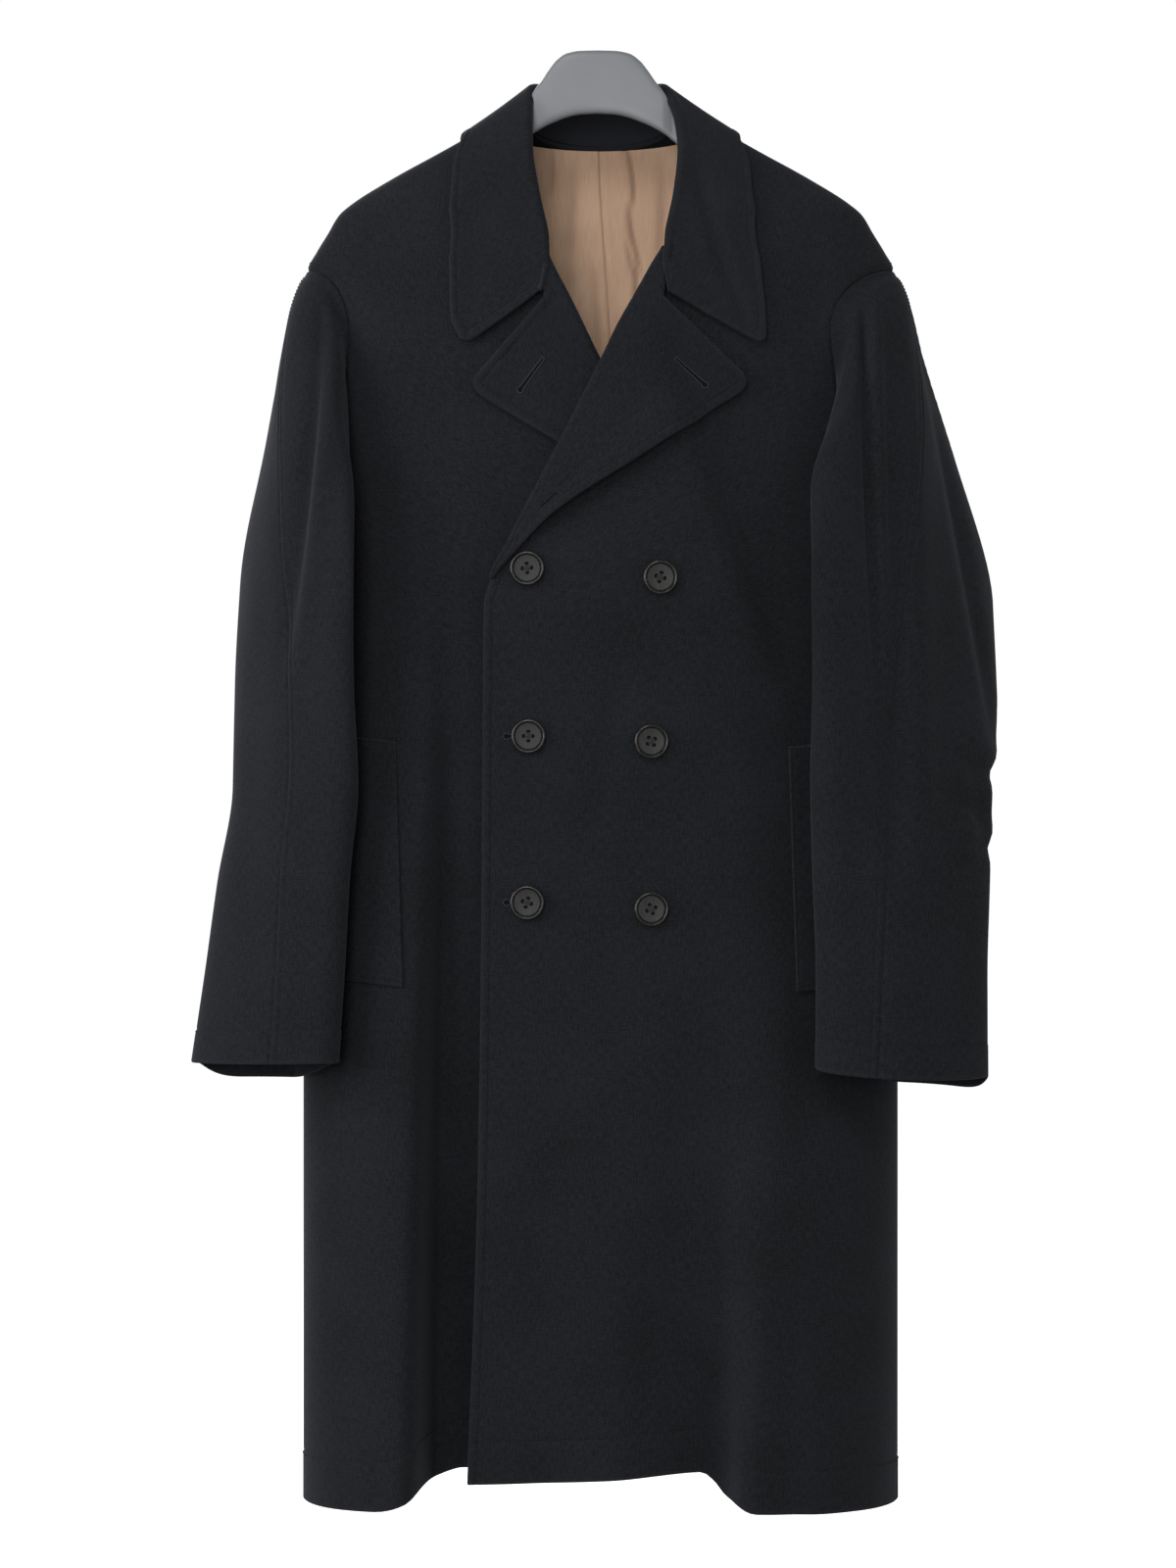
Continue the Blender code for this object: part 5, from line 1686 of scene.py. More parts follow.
    def leaf_half(self, side: Side) -> tuple[Array, Array, Array]:
        """Shape half the leaf.

        An arc rolls over the stand; a nearly straight fall, hollowed by a sine, runs to the edge.

        Args:
            side: which half.

        Returns:
            The middle, and its distances from the outer edge and from the front end.
        """
        back = np.linspace(-1, self.front_place, self.back_rows)[:-1]
        place = np.concatenate([back, np.linspace(self.front_place, self.end_place, self.front_rows)])
        _, centre, apex, aside, edge = self.frame(side, place)
        first = between(*self.roll_starts, ramp(0.7, self.end_place, place))
        angle = np.radians(between(first[:, None], 90, np.linspace(0, 1, self.roll_columns)))[..., None]
        arc = centre[:, None] + self.roll * (np.cos(angle) * apex[:, None] + np.sin(angle) * aside[:, None])
        fall = np.linalg.norm(edge - arc[:, -1], axis=1)[:, None]
        share = (spaced(fall, (0.0,), NEAR_EDGE, self.fall_columns) / fall)[:, 1:, None]
        hollow = -self.hollow * np.sin(np.pi * share) * aside[:, None]
        middle = np.concatenate([arc, between(arc[:, -1:], edge[:, None], share) + hollow], axis=1)
        run = lengths(middle)
        return middle, run[:, -1:] - run, distance_to(middle, middle[-1])

    def leaf(self) -> tuple[Wall, Array, Array]:
        """Shape the whole leaf, with its creases and turned edges in relief.

        Returns:
            The wall, and its distances from the outer edge and from the front ends.
        """
        middle, from_edge, from_end = self.both(self.leaf_half)
        towards_end = np.where(np.arange(len(middle)) < len(middle) / 2, -1.0, 1.0)[:, None, None]
        middle = round_corner(middle, from_edge, from_end, towards_end, self.tip_radius)
        nearest = np.minimum(from_edge, np.where(from_edge < self.end_length, from_end, np.inf))
        wall = Wall(middle, self.cloth, 1.0, depths(middle), from_edge, 1.3, EDGES.paler_tone(nearest))
        wall.turn_out(UP, slice(None), -1)
        front = ramp(0.1, 0.5, -wall.normals()[..., 1])
        relief = EDGES.turned(nearest)
        for crease in self.creases:
            relief = relief + crease.height(middle[..., 0], -middle[..., 2]) * front * ramp(2, 14, from_edge)
        wall.middle = middle + relief[..., None] * wall.normals()
        return wall, from_edge, from_end

    def sewn(self) -> Sewn:
        """Shape the stand, and the leaf stitched along its edge and both its ends.

        Returns:
            Each solid's name, its wall and its rows of stitches.
        """
        (middle,) = self.both(self.stand_half)
        # The stand takes painted light: its whole face is mixed towards the paler wool tone.
        stand = Wall(middle, self.stand_cloth, 1.0, depths(middle), lengths(middle), 0.6, self.stand_painted_light)
        leaf, from_edge, from_end = self.leaf()
        kept = from_end[:, -1 - STITCH_COLUMN] > EDGES.inset
        rows = [leaf.row(kept, -1 - STITCH_COLUMN)]
        for tip in (slice(0, self.tip_rows), slice(None, -1 - self.tip_rows, -1)):
            rows.append(contour(leaf, tip, from_end, from_edge, self.stitch_reach))
        return [("collar_stand", stand, []), ("collar_leaf", leaf, rows)]


@dataclass
class Lapel(SewnPiece):
    """A lapel: it rolls out from a front's edge and lies back over the front."""

    form: CoatForm
    side: Side
    edge: Table
    notch: tuple[float, float]
    top_drop: float
    foot_drop: float
    lift: float
    edge_lift: float
    cloth: float = 2.5
    roll: float = 3.2
    roll_thins: float = 0.6
    gap: float = 0.9
    notch_fade: int = 7
    notch_share: float = 0.29
    notch_reach: float = 0.05
    notch_rows: int = 17
    long_rows: int = 64
    tuck: float = 2.6
    tuck_drops: tuple[float, float] = (166, 196)
    tip_radius: float = 6.0
    roll_columns: int = 15
    inner_columns: int = 14
    outer_columns: int = 24
    narrowest_turned: float = 8.0
    narrowest_stitched: float = 22.0
    roll_width: float = 12.0

    def __post_init__(self) -> None:
        """Work out the rows along the roll line, close together at the notch."""
        close = np.linspace(0, self.notch_reach, self.notch_rows)[:-1]
        self.rows = np.concatenate([close, np.linspace(self.notch_reach, 1, self.long_rows)])[:, None]
        self.roll_drop = between(self.top_drop, self.foot_drop, self.rows)
        self.rolls = self.roll * (1 - self.roll_thins * ramp(0.7, 1, self.rows))
        self.notch_column = self.roll_columns + self.inner_columns

    def line(self, share: Array) -> tuple[Array, Array]:
        """Return out and drop along rows from the roll line to the edge.

        Rows are straight, and near the top they bend through the notch.

        Args:
            share: shares along the rows.

        Returns:
            Out and drop.
        """
        form, rows = self.form, self.rows
        start_out = form.edge(self.roll_drop, self.side)
        start_drop = self.roll_drop + self.gap * (1 - rows) ** self.notch_fade
        end_out, end_drop = self.edge.at("out", rows), self.edge.at("drop", rows)
        tent = np.minimum(share / self.notch_share, (1 - share) / (1 - self.notch_share))
        weight = (1 - rows) ** self.notch_fade * tent
        out_aim = self.notch[0] - between(start_out[0], end_out[0], self.notch_share)
        drop_aim = self.notch[1] + self.gap - between(start_drop[0], end_drop[0], self.notch_share)
        out = between(start_out, end_out, share) + weight * out_aim
        return out, between(start_drop, end_drop, share) + weight * drop_aim

    def flat(self, share: Array) -> Line:
        """Lay the lapel on its front, bowed by a sine, tucked in under the collar and standing off at its edge.

        Args:
            share: shares along the rows.

        Returns:
            Points of its middle and the front's directions there.
        """
        form = self.form
        out, drop = self.line(share)
        turn = self.side.sign * form.turn_at(out, drop)
        points, normals = form.surface(turn, drop, self.side.layer, False)
        height = 2 * self.rolls - form.cloth / 2 + self.lift * np.sin(np.pi * share)
        height = height - self.tuck * (1 - ramp(*self.tuck_drops, drop))
        along = ramp(0.12, 0.4, self.rows) * (1 - ramp(0.78, 0.98, self.rows))
        height = height + self.edge_lift * ramp(0.45, 1, share) * along
        return points + height[..., None] * normals, normals

    def wall(self) -> tuple[Wall, Array, Array]:
        """Shape the lapel.

        Half a circle rolls out from the front's edge, and the flat part follows it to the notch's share and on
        to the edge.

        Returns:
            The wall, and its distances from the outer edge and from the notched top edge.
        """
        inner, _ = paced(lambda s: self.flat(s)[0], (0, self.notch_share), (0.0,), (0.0,), self.inner_columns)
        outer, _ = paced(lambda s: self.flat(s)[0], (self.notch_share, 1), (0.0,), NEAR_EDGE, self.outer_columns)
        middle, normals = self.flat(np.concatenate([inner, outer[:, 1:]], axis=1))
        base = middle[:, 0] - 2 * self.rolls * normals[:, 0]
        outward = unit(np.cross(normals[:, 0], np.gradient(base, axis=0)))
        outward = outward * np.sign(np.sum(outward * (middle[:, 1] - middle[:, 0])))
        angle = np.linspace(-np.pi / 2, np.pi / 2, self.roll_columns)[None, :, None]
        hinge = base + self.rolls * normals[:, 0] - self.gap * outward
        turn = np.sin(angle) * normals[:, :1] - np.cos(angle) * outward[:, None]
        middle = np.concatenate([hinge[:, None] + self.rolls[..., None] * turn, middle[:, 1:]], axis=1)
        run = lengths(middle)
        from_edge = run[:, -1:] - run
        from_top = distance_to(middle, middle[0, self.notch_column:])
        middle = round_corner(middle, from_edge, from_top, -1.0, self.tip_radius)
        nearest = np.minimum(from_edge, from_top)
        room = ramp(self.narrowest_turned, self.narrowest_stitched, run[:, -1:])
        room = room * ramp(0, EDGES.inset, run - self.roll_width)
        wall = Wall(middle, self.cloth, 1.0, run, np.broadcast_to(self.roll_drop, run.shape), 1.1,
                    EDGES.paler_tone(nearest) * room)
        wall.turn_out(FORWARD, slice(30), slice(-20, None))
        wall.middle = middle + (EDGES.turned(nearest) * room)[..., None] * wall.normals()
        return wall, from_edge, from_top

    def sewn(self) -> Sewn:
        """Shape the lapel, stitched along its edge and along its top from the notch.

        Returns:
            Each solid's name, its wall and its rows of stitches.
        """
        wall, from_edge, from_top = self.wall()
        long = lengths(wall.middle)[:, -1] > self.narrowest_stitched
        kept = (from_top[:, -1 - STITCH_COLUMN] > EDGES.inset) & long
        top = contour(wall, slice(40), from_top, from_edge, from_edge[0, self.notch_column])
        return [("lapel_" + self.side.value, wall, [wall.row(kept, -1 - STITCH_COLUMN), top])]


@dataclass
class PocketWelt(SewnPiece):
    """A welt that stands on a front over its pocket's mouth."""

    form: CoatForm
    side: Side
    top: tuple[float, float]
    bottom: tuple[float, float]
    slant: float
    gap: float
    width: float = 50.0
    cloth: float = 2.2
    furrow: float = 0.4
    end_rows: tuple[float, ...] = (0.0, 0.6, 1.6, 2.2, 3.0, 4.6, 7.0, 8.2, 9.4, 12.0)
    edge_columns: tuple[float, ...] = (0.0, 0.5, 1.3, 2.0, 2.7, 4.0, 6.5, 10.0)
    even_rows: int = 46
    even_columns: int = 14
    end_stitches: tuple[float, float] = (2.2, 8.2)
    edge_stitch: float = 2.0

    def sewn(self) -> Sewn:
        """Shape the welt from its front's own surface, with two rows across each end and one down the inner edge.

        Returns:
            Each solid's name, its wall and its rows of stitches.
        """
        form = self.form
        length = self.bottom[1] - self.top[1]
        ends, edge = np.array(self.end_rows), np.array(self.edge_columns)
        even = np.linspace(ends[-1], length - ends[-1], self.even_rows)[1:-1]
        down = np.concatenate([ends, even, length - ends[::-1]])[:, None] / length
        over = np.concatenate([edge, np.linspace(edge[-1], self.width, self.even_columns)[1:]])
        out = between(self.top[0], self.bottom[0], down) + over
        drop = between(self.top[1], self.bottom[1], down) - self.slant * over / self.width
        surface, normals = form.surface(self.side.sign * form.turn_at(out, drop), drop, self.side.layer)
        from_end = np.minimum(down, 1 - down) * length
        furrows = sum(bell(from_end - row, 0.8) for row in self.end_stitches) + bell(over - self.edge_stitch, 0.7)
        height = self.gap + self.cloth / 2 - self.furrow * furrows
        middle = surface + height[..., None] * normals
        wear_light_satin = 0.5 * EDGES.paler_tone(np.minimum(from_end, over))
        wall = Wall(middle, self.cloth, self.side.sign, out, drop, EDGES.rim_reach, wear_light_satin)
        near, far = (self.end_rows.index(row) for row in self.end_stitches)
        rows = [wall.row(row) for row in (near, far, -1 - near, -1 - far)]
        rows.append(wall.row(slice(None), self.edge_columns.index(self.edge_stitch)))
        return [("pocket_welt_" + self.side.value, wall, rows)]


def lie_on(wall: Wall, spots: Array) -> Line:
    """Lay flat spots on the part of a wall that looks forwards.

    Each spot takes the plane of the face's nearest point, by distance across and down.

    Args:
        wall: the wall.
        spots: (x, drop) of each spot.

    Returns:
        Points on the wall and its directions there.
    """
    points, facing = (values.reshape(-1, 3) for values in wall.row())
    forward = facing[:, 1] < -0.5
    points, facing = points[forward], facing[forward]
    x, z = spots[:, 0], -spots[:, 1]
    nearest = np.hypot(x[:, None] - points[:, 0], z[:, None] - points[:, 2]).argmin(axis=1)
    base, out = points[nearest], facing[nearest]
    y = base[:, 1] - (out[:, 0] * (x - base[:, 0]) + out[:, 2] * (z - base[:, 2])) / out[:, 1]
    return np.stack([x, y, z], axis=-1), out


@dataclass(frozen=True)
class Buttonhole:
    """A keyhole buttonhole: a slit with a round eye, bound with close purl stitches."""

    name: str
    bar: tuple[float, float]
    eye: tuple[float, float]
    eye_radius: float = 2.4
    slit: float = 1.0
    slit_at_eye: float = 1.6
    cord: float = 0.55
    cord_rise: float = 0.15
    strip_rise: float = 0.12
    eye_steps: int = 40
    purl: float = 1.0
    pace: float = 0.25
    sides: int = 6

    def outline(self) -> Array:
        """Trace the slit, which widens to its eye, and the eye's arc.

        Returns:
            Evenly spaced (x, drop) points.
        """
        run = np.array(self.eye) - np.array(self.bar)
        length = np.linalg.norm(run)
        along = run / length
        aside = np.array([along[1], -along[0]])
        open_angle = math.asin(self.slit_at_eye / self.eye_radius)
        neck = length - self.eye_radius * math.cos(open_angle)
        turn = np.linspace(np.pi - open_angle, -np.pi + open_angle, self.eye_steps)
        places = np.concatenate([
            [(0, 0), (0, self.slit), (neck, self.slit_at_eye)],
            np.stack([length + self.eye_radius * np.cos(turn), self.eye_radius * np.sin(turn)], axis=-1),
            [(neck, -self.slit_at_eye), (0, -self.slit), (0, 0)]])
        sizes = lengths(places[None])[0]
        even = read_line(np.arange(0, sizes[-1], self.pace), sizes, places)
        return np.array(self.bar) + even[:, :1] * along + even[:, 1:] * aside

    def build(self, finishes: Finishes, wall: Wall) -> Object:
        """Make the bound edge, and a near-black strip of painted shade in the slit, on a wall of cloth.

        A cord is carried round the outline, its radius swelling with each purl; a strip between the outline's two
        sides closes the slit.

        Args:
            finishes: the coat's materials.
            wall: the wall.

        Returns:
            The piece.
        """
        line, out = lie_on(wall, self.outline())
        count = len(line)
        along = unit(np.roll(line, -1, axis=0) - np.roll(line, 1, axis=0))
        aside = unit(np.cross(along, out))
        turn = np.arange(self.sides) * 2 * np.pi / self.sides
        swell = self.cord * (0.85 + 0.2 * np.cos(2 * np.pi * np.arange(count) * self.pace / self.purl))
        ring = np.cos(turn)[:, None] * aside[:, None] + np.sin(turn)[:, None] * out[:, None]
        tube = line[:, None] + self.cord_rise * out[:, None] + swell[:, None, None] * ring
        number = numbered(tube)
        walls = tube_quads(np.concatenate([number, number[:1]]))
        half = count // 2
        # Painted shade: a near-black strip that fills the slit.
        strip = np.stack([np.arange(1, half - 1), np.arange(2, half)], axis=-1)
        strip = np.concatenate([strip, (count - strip)[:, ::-1]], axis=1) + number.size
        points = np.concatenate([tube.reshape(-1, 3), line + self.strip_rise * out])
        piece = place_mesh(self.name, points, walls.tolist() + strip.tolist(), finishes.cord)
        piece.data.materials.append(finishes.hollow)
        in_slit = np.arange(len(walls) + len(strip)) >= len(walls)
        piece.data.polygons.foreach_set("material_index", in_slit.astype(np.int32))
        return piece


@dataclass(frozen=True)
class CoatButton:
    """A turned four-hole button: a thick rounded rim and a groove round a dished face, sewn with thread."""

    face_radius: float = 6.4
    hole_radius: float = 1.45
    hole_spacing: float = 3.3
    hole_bevel: float = 0.3
    thickness: float = 2.36
    dish: float = 0.36
    rim: Table = Table("place radius height", (
        (0, 6.4, 2.36), (1, 7.8, 2.53), (2, 9.2, 2.74), (3, 9.9, 2.84), (3.5, 10.3, 2.45), (4, 10.65, 2.0),
        (4.5, 11.0, 2.7), (5, 11.35, 3.7), (6, 12.0, 4.15), (7, 12.7, 3.9), (8, 13.2, 3.25), (9, 13.4, 2.4),
        (10, 12.9, 1.5), (11, 11.6, 0.7), (12, 10.2, 0.25), (13, 8.4, 0.05), (14, 6.4, 0.0)))
    rim_steps: int = 57
    arc_steps: int = 12
    side_steps: int = 7
    face_rings: tuple[float, ...] = (0.0, 0.08, 0.3, 0.62, 1.0)
    satin_ends: tuple[float, float] = (10.4, 11.2)
    shank: float = 0.75
    strand: float = 0.36
    strand_shift: float = 0.4
    strand_rise: float = 0.12
    strand_dip: float = 1.1

    def quarter(self) -> Array:
        """Shape a quarter of the face: rings that grow from the hole's circle to the quarter disc's outline.

        Returns:
            Points across (rings, steps, 2).
        """
        side = np.linspace(0, self.face_radius, self.side_steps + 1)
        arc = np.linspace(0, np.pi / 2, self.arc_steps + 1)
        outline = np.concatenate([
            np.stack([side, 0 * side], axis=-1)[:-1],
            self.face_radius * np.stack([np.cos(arc), np.sin(arc)], axis=-1)[:-1],
            np.stack([0 * side, side[::-1]], axis=-1)[:-1]])
        centre = np.full(2, self.hole_spacing / math.sqrt(2))
        hole = centre + self.hole_radius * unit(outline - centre)
        return between(hole, outline, np.array(self.face_rings)[:, None, None])

    def mesh(self) -> tuple[Array, list]:
        """Shape the button, flat on the cloth with +Z outwards.

        Each quarter runs as rings from the underside's outline through the hole to the face's outline; the rim is
        the profile turned round the middle. Points that fall together are then joined.

        Returns:
            Points and faces.
        """
        rings = self.quarter()
        radius = np.linalg.norm(rings, axis=-1, keepdims=True)
        top = np.concatenate([rings, self.thickness - self.dish * (1 - (radius / self.face_radius) ** 2)], axis=-1)
        top[0, :, 2] -= self.hole_bevel
        one = np.concatenate([np.concatenate([rings[::-1], 0 * radius], axis=-1), top])
        grids = []
        for turn in np.arange(4) * np.pi / 2:
            across = one[..., :2] @ np.array([[np.cos(turn), np.sin(turn)], [-np.sin(turn), np.cos(turn)]])
            grids.append(np.concatenate([across, one[..., 2:]], axis=-1))
        place = np.linspace(0, self.rim.column("place")[-1], self.rim_steps)[:, None]
        around = np.arange(4 * self.arc_steps) * np.pi / 2 / self.arc_steps
        radius, height = self.rim.at("radius", place), self.rim.at("height", place)
        grids.append(np.stack(np.broadcast_arrays(radius * np.cos(around), radius * np.sin(around), height), axis=-1))
        starts = np.cumsum([0] + [grid[..., 0].size for grid in grids])
        faces = np.concatenate([
            tube_quads(numbered(grid, start), (0, 3, 2, 1)) for grid, start in zip(grids, starts)])
        points = np.concatenate([grid.reshape(-1, 3) for grid in grids])
        _, first, same = np.unique(np.round(points, 3), axis=0, return_index=True, return_inverse=True)
        return points[first], [face for face in same.reshape(-1)[faces].tolist() if len(set(face)) == 4]

    def thread(self) -> tuple[Array, Array]:
        """Shape four strands, two across each diagonal, as bowed tubes between opposite holes.

        Returns:
            Points and faces.
        """
        along = np.linspace(-1, 1, 15)
        reach = self.hole_spacing * along
        height = self.thickness + self.strand_rise - self.strand_dip * along**6
        around = (np.arange(6) * np.pi / 3)[:, None]
        strands = []
        for turn in (math.pi / 4, 3 * math.pi / 4):
            ahead = np.array([math.cos(turn), math.sin(turn), 0.0])
            aside = np.array([-math.sin(turn), math.cos(turn), 0.0])
            ring = self.strand * (np.cos(around) * aside + np.sin(around) * UP)
            for shift in (-self.strand_shift, self.strand_shift):
                line = reach[:, None] * ahead + shift * aside + height[:, None] * UP
                strands.append(line[:, None] + ring)
        strands = np.stack(strands)
        return strands, tube_quads(numbered(strands), (3, 2, 1, 0))

    def build(self, name: str, form: CoatForm, x: float, drop: float, spin: float, finishes: Finishes) -> None:
        """Make one button and its thread on the overlapping front.

        Args:
            name: the solid that it stands for.
            form: the coat's shape.
            x: distance of its middle across the coat.
            drop: distance down it.
            spin: turn of its holes, in degrees.
            finishes: the coat's materials.
        """
        drop = np.array(float(drop))
        seat, normal = form.surface(form.turn_at(np.array(float(x)), drop), drop, Layer.OVER)
        seat = seat + self.shank * normal
        across = unit(np.cross(UP, normal))
        up = np.cross(normal, across)
        turn = math.radians(spin)
        axes = np.stack([
            math.cos(turn) * across + math.sin(turn) * up, math.cos(turn) * up - math.sin(turn) * across, normal])
        points, faces = self.mesh()
        strands, strand_faces = self.thread()
        satin = 1 - ramp(*self.satin_ends, np.hypot(points[:, 0], points[:, 1]))
        place_mesh(name + "_horn", seat + points @ axes, faces, finishes.horn, [name], wear_light_satin=satin)
        place_mesh(name + "_thread", seat + strands @ axes, strand_faces.tolist(), finishes.cord)


@dataclass(frozen=True)
class Hanger:
    """The broad hanger: one moulding, lofted through rounded sections from end to end."""

    sections: Table = Table("out top bottom half_depth", (
        (0, 0, -51.5, 11), (14, -0.4, -52.4, 11), (25, -2.5, -54.8, 11), (33, -8, -57.8, 11),
        (39.5, -16, -60.5, 11), (45.2, -24.5, -63.4, 11), (50.4, -31, -66.4, 11), (55, -38, -69.6, 10.5),
        (59, -47, -73, 10), (75, -63, -86, 10), (105, -80, -106, 11), (140, -95, -126, 14),
        (172, -113, -145, 16), (190, -126, -152, 16), (198, -134, -148, 10)))
    roundness: float = 0.3
    sides: int = 48
    steps: int = 8
    lean: float = -2.6
    lean_reach: float = 80.0
    undercut: float = 0.22

    def build(self, finishes: Finishes) -> Object:
        """Make the hanger.

        Each section is a rounded rectangle, cosine and sine to a power. Its hump leans aside by a bell, and the
        underside slants up towards the back.

        Args:
            finishes: the materials.

        Returns:
            The piece.
        """
        places = self.sections.column("out")
        shares = np.linspace(0, 1, self.steps, endpoint=False)
        half = np.concatenate([between(a, b, shares) for a, b in zip(places[:-1], places[1:])])
        out = np.concatenate([-places[-1:], -half[:0:-1], half, places[-1:]])
        top, bottom, depth = (
            self.sections.at(name, np.abs(out))[:, None] for name in ("top", "bottom", "half_depth"))
        around = np.arange(self.sides) * 2 * np.pi / self.sides
        swing, rise = (
            np.sign(wave) * np.abs(wave) ** self.roundness for wave in (np.cos(around), np.sin(around)))
        y = depth * swing
        z = (top + bottom) / 2 + (top - bottom) / 2 * rise
        z = z + self.undercut * (y + depth) * np.clip(-rise, 0, 1)
        across = (out + self.lean * bell(out, self.lean_reach))[:, None]
        points = np.stack(np.broadcast_arrays(across, y, z), axis=-1)
        number = numbered(points)
        ends = [number[0].tolist(), number[-1, ::-1].tolist()]
        faces = tube_quads(number, (1, 2, 3, 0)).tolist() + ends
        return place_mesh("hanger_moulding", points, faces, finishes.plastic, ["hanger"])


@dataclass(frozen=True)
class Studio:
    """A plain pale floor, soft studio light and a camera at the photograph's viewing angle.

    Each light has a name, its place, the point it looks at, its size and its power. Places are metres.
    """

    distance: float = 3.6
    eye: tuple[float, float] = (-0.010, -0.583)
    frame_height: float = 1.248
    sensor: float = 36.0
    floor_level: float = -1.34
    floor_size: float = 40.0
    surround: float = 0.46
    lights: tuple[tuple, ...] = (
        ("side_light", (-3.2, -1.3, 0.3), (0, 0, -0.6), (2.4, 2.4), 95),
        ("front_light", (-0.8, -4.4, -0.1), (0, 0, -0.4), (1.6, 1.6), 70),
        ("top_light", (-0.5, -2.3, 1.5), (0, 0, -0.5), (1.0, 0.8), 23),
        ("fill_light", (3.2, -1.6, 0.2), (0, 0, -0.6), (2.4, 2.4), 26),
        ("back_light", (-1.2, 2.7, 1.2), (0, 0, -0.5), (2.0, 1.6), 44))

    def floor(self) -> None:
        """Lay the floor, which casts no light back on the coat."""
        half = self.floor_size / 2
        corners = [(x, y, self.floor_level) for x, y in ((-half, -half), (half, -half), (half, half), (-half, half))]
        mesh = bpy.data.meshes.new("studio_floor")
        mesh.from_pydata(corners, [], [(0, 1, 2, 3)])
        mesh.materials.append(StudioPaper().make())
        floor = bpy.data.objects.new("studio_floor", mesh)
        bpy.context.scene.collection.objects.link(floor)
        floor.visible_diffuse = False
        floor.visible_glossy = False

    def lamps(self) -> None:
        """Hang the soft rectangular lights, each turned to the point it looks at."""
        for name, place, aim, size, power in self.lights:
            lamp = bpy.data.lights.new(name, "AREA")
            lamp.shape = "RECTANGLE"
            lamp.size, lamp.size_y = size
            lamp.energy = power
            holder = bpy.data.objects.new(name, lamp)
            holder.location = place
            holder.rotation_euler = (Vector(aim) - Vector(place)).to_track_quat("-Z", "Y").to_euler()
            bpy.context.scene.collection.objects.link(holder)

    def build(self) -> None:
        """Set up the floor, the lights, the surround, which the camera sees as white, and the camera."""
        self.floor()
        self.lamps()
        scene = bpy.context.scene
        world = bpy.data.worlds.new("studio_surround")
        world.use_nodes = True
        tree = world.node_tree
        seen = add_node(tree, "LightPath").outputs["Is Camera Ray"]
        level = add_node(tree, "MapRange", {"Value": seen, "To Min": self.surround, "To Max": 1.0})
        set_sockets(tree, tree.nodes["Background"], {"Strength": level, "Color": (1, 1, 1, 1)})
        scene.world = world
        scene.view_settings.view_transform = "Standard"
        camera = bpy.data.objects.new("camera", bpy.data.cameras.new("camera"))
        camera.data.sensor_width = self.sensor
        camera.data.lens = self.sensor * self.distance / self.frame_height
        camera.location = (self.eye[0], -self.distance, self.eye[1])
        camera.rotation_euler = (math.pi / 2, 0, 0)
        scene.collection.objects.link(camera)
        scene.camera = camera


RIGHT_RINGS = Table(SLEEVE_COLUMNS, (
    (1, 325, 227, 6, 90, 26, 7, 117, 0, 6, 0.68), (2, 352, 238, 13, 90, 25, 12, 104, 0, 12, 0.38),
    (3, 392, 244, 22, 91, 24, 19, 82, 0, 16, 0.14), (4, 445, 246, 33, 90, 22, 27, 58, 0, 17, 0.02),
    (5, 510, 242, 43, 84, 22, 34, 36, 0, 17, 0), (6, 585, 240, 51, 77, 23, 40, 18, 2, 17, 0),
    (7, 658, 249, 55, 74, 25, 45, 8, 4, 19, 0), (8, 732, 256, 58, 72, 27, 50, 3, 6, 21, 0),
    (9, 800, 263, 60, 71, 30, 54, 0, 8, 23, 0)))
LEFT_RINGS = Table(SLEEVE_COLUMNS, (
    (1, 325, 229, 9, 90, 26, 12, 117, 0, 6, 0.66), (2, 352, 241, 18, 92, 25, 21, 104, 0, 12, 0.36),
    (3, 392, 250, 31, 95, 24, 32, 82, 0, 16, 0.13), (4, 445, 249, 47, 95, 23, 43, 58, 0, 17, 0.02),
    (5, 510, 241, 61, 89, 24, 54, 36, 0, 17, 0), (6, 585, 235, 73, 81, 26, 63, 18, 2, 17, 0),
    (7, 658, 234, 80, 75, 28, 69, 8, 4, 19, 0), (8, 732, 234, 83, 71, 29, 72, 1, 6, 22, 0),
    (9, 806, 234, 85, 70, 30, 75, -4, 8, 24, 0)))
RIGHT_FOLD = Table("drop shift", (
    (205, 0), (225, 3), (240, 9), (277, 16), (315, 20), (354, 22), (392, 19), (430, 13), (468, 6.5), (507, 1.5),
    (540, 0), (560, 0)))
LEFT_FOLD = Table("drop shift", (
    (205, 0), (227, 2), (240, 6), (277, 19), (315, 33), (354, 38), (392, 31), (430, 21), (468, 12), (507, 4.5),
    (545, 0), (565, 0)))
RIGHT_CREASES = (
    (Crease(-216, 180, -250, 500, 4, 7, -6.5, 0.7), 1.0), (Crease(-206, 300, -214, 640, 5, 15, 1.8), 1.0),
    (Crease(-266, 420, -272, 760, -6, 16, -1.6), 1.0), (Crease(-230, 560, -236, 860, 5, 14, -1.6), 1.0),
    (Crease(-252, 250, -280, 560, -8, 14, -2.2), -1.0), (Crease(-262, 520, -300, 640, 8, 9, -2.0), -1.0),
    (Crease(-270, 600, -304, 690, 6, 8, -1.6), -1.0), (Crease(-240, 330, -262, 800, 6, 20, 2.0), -1.0),
)
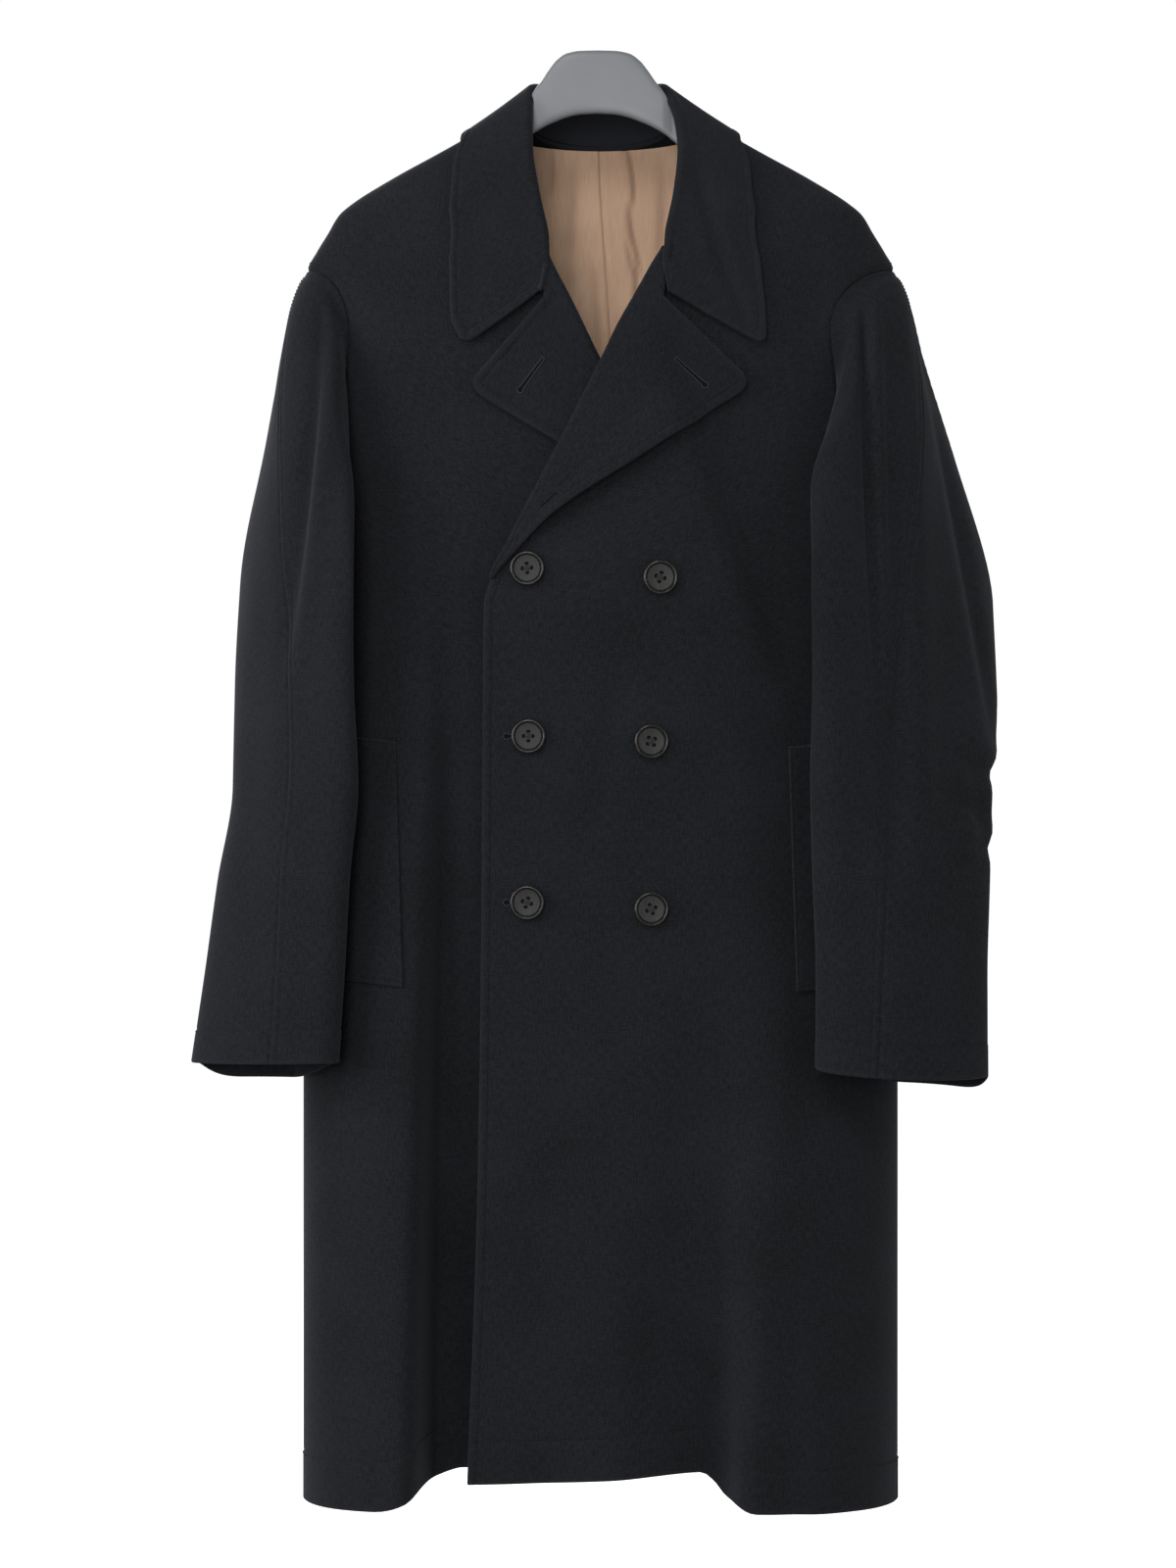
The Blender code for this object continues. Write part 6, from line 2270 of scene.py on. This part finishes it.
LEFT_CREASES = (
    (Crease(204, 140, 216, 540, -2, 5, -8.0, 0.9), 1.0), (Crease(216, 190, 228, 680, 3, 11, -7.0, 0.6), 1.0),
    (Crease(186, 330, 178, 700, -5, 14, 1.7), 1.0), (Crease(262, 480, 276, 780, 7, 16, -1.7), 1.0),
    (Crease(196, 560, 200, 870, 4, 14, -1.5), 1.0), (Crease(286, 560, 300, 650, 5, 8, -3.4), 1.0),
    (Crease(246, 200, 312, 565, 5.5, 6, -6.0, 0.0), 4.0), (Crease(258, 586, 306, 612, 2, 6, -3.2), 1.0),
    (Crease(266, 636, 304, 652, -2, 5, -2.6), 1.0),
    (Crease(284, 568, 326, 580, 0, 8, -3.4, 0.5), 0.0), (Crease(282, 640, 326, 628, 0, 7, -2.6, 0.5), 0.0),
    (Crease(250, 260, 284, 560, 8, 14, -2.2), -1.0), (Crease(262, 540, 300, 640, -7, 9, -2.2), -1.0),
    (Crease(266, 610, 304, 700, -6, 8, -1.8), -1.0), (Crease(240, 330, 258, 800, -6, 20, 2.0), -1.0),
)
UNDER_HEM = Table("x drop", (
    (-236, 1148), (-175, 1145), (-150, 1138), (-138, 1129), (-104, 1117), (104, 1114)))
OVER_HEM = Table("x drop", (
    (-105, 1126), (0, 1122), (78, 1117), (87, 1123), (97, 1135), (120, 1144), (236, 1148)))
LAPEL_RIGHT = Table("share out drop", (
    (0, 100, 270), (0.06, 95, 277), (0.2, 73, 292), (0.5, 29, 319), (0.8, -32, 362), (1, -68, 397)))
LAPEL_LEFT = Table("share out drop", (
    (0, 114, 268), (0.06, 110, 275), (0.2, 88, 290), (0.5, 28, 330), (0.8, -38, 374), (1, -83, 421)))
LAPEL_HOLES = (
    Buttonhole("buttonhole_lapel_right", (-44.4, 251.3), (-62.7, 276.5)),
    Buttonhole("buttonhole_lapel_left", (58.0, 252.0), (81.0, 272.7)))
FRONT_HOLES = tuple(
    Buttonhole(name, (-48, drop), (-73.2, drop))
    for name, drop in (("buttonhole_middle", 546), ("buttonhole_lower", 675)))
BUTTON_PLACES = (
    ("button_upper_right", -57, 416, 50), ("button_upper_left", 46, 423, 30),
    ("button_middle_right", -56, 546, 45), ("button_middle_left", 39, 550, 80),
    ("button_lower_right", -57, 675, 28), ("button_lower_left", 39, 680, 66),
)


def main() -> None:
    """Build the coat's pieces in order, dress them, and set the studio round them."""
    logging.basicConfig(level=logging.INFO, format="%(name)s: %(message)s")
    finishes = Finishes(
        WoolCoating().make(), LiningTwill().make(), PolishedHorn().make(), MouldedPlastic().make(),
        SewingThread().make(), SewingThread("buttonhole_twist", "#212226", "#323439").make(),
        # The slit's near-black finish is painted shade, not thread.
        SewingThread("slit_shade", "#030303", "#050505", 0.95).make())
    form = CoatForm()
    body, arms, neck = (StitchRows(name + "_stitching") for name in ("body", "sleeve", "collar"))
    Hanger().build(finishes)
    BackPanel(form).build(finishes, body)
    FrontPanel(form, Side.RIGHT, UNDER_HEM, hem_depth=36.5).build(finishes, body)
    (over,) = FrontPanel(form, Side.LEFT, OVER_HEM, hem_depth=32.0).build(finishes, body)
    Sleeve(form, Side.RIGHT, RIGHT_RINGS, RIGHT_CREASES, RIGHT_FOLD, cuff_tilt=0.0, cuff_rise=-6.2,
           lip_turn=197.0, cuff_lip=13.0).build(finishes, arms)
    Sleeve(form, Side.LEFT, LEFT_RINGS, LEFT_CREASES, LEFT_FOLD, cuff_tilt=-1.0, cuff_rise=-3.0,
           lip_turn=210.0, cuff_lip=14.0).build(finishes, arms)
    Collar(form).build(finishes, neck)
    lapels = (
        Lapel(form, Side.RIGHT, LAPEL_RIGHT, (41.5, 201.0), 162.0, 397.5, lift=0.36, edge_lift=1.0),
        Lapel(form, Side.LEFT, LAPEL_LEFT, (47.5, 202.5), 163.0, 423.0, lift=1.2, edge_lift=5.0))
    for lapel, hole in zip(lapels, LAPEL_HOLES):
        (wall,) = lapel.build(finishes, neck)
        hole.build(finishes, wall)
    PocketWelt(form, Side.RIGHT, (160, 551), (154, 740), slant=6, gap=0.5).build(finishes, body)
    PocketWelt(form, Side.LEFT, (146, 555), (152, 744), slant=4, gap=1.4).build(finishes, body)
    for hole in FRONT_HOLES:
        hole.build(finishes, over)
    for name, x, drop, spin in BUTTON_PLACES:
        CoatButton().build(name, form, x, drop, spin, finishes)
    for rows in (body, arms, neck):
        rows.build(finishes.thread)
    Studio().build()


if __name__ == "__main__":
    main()
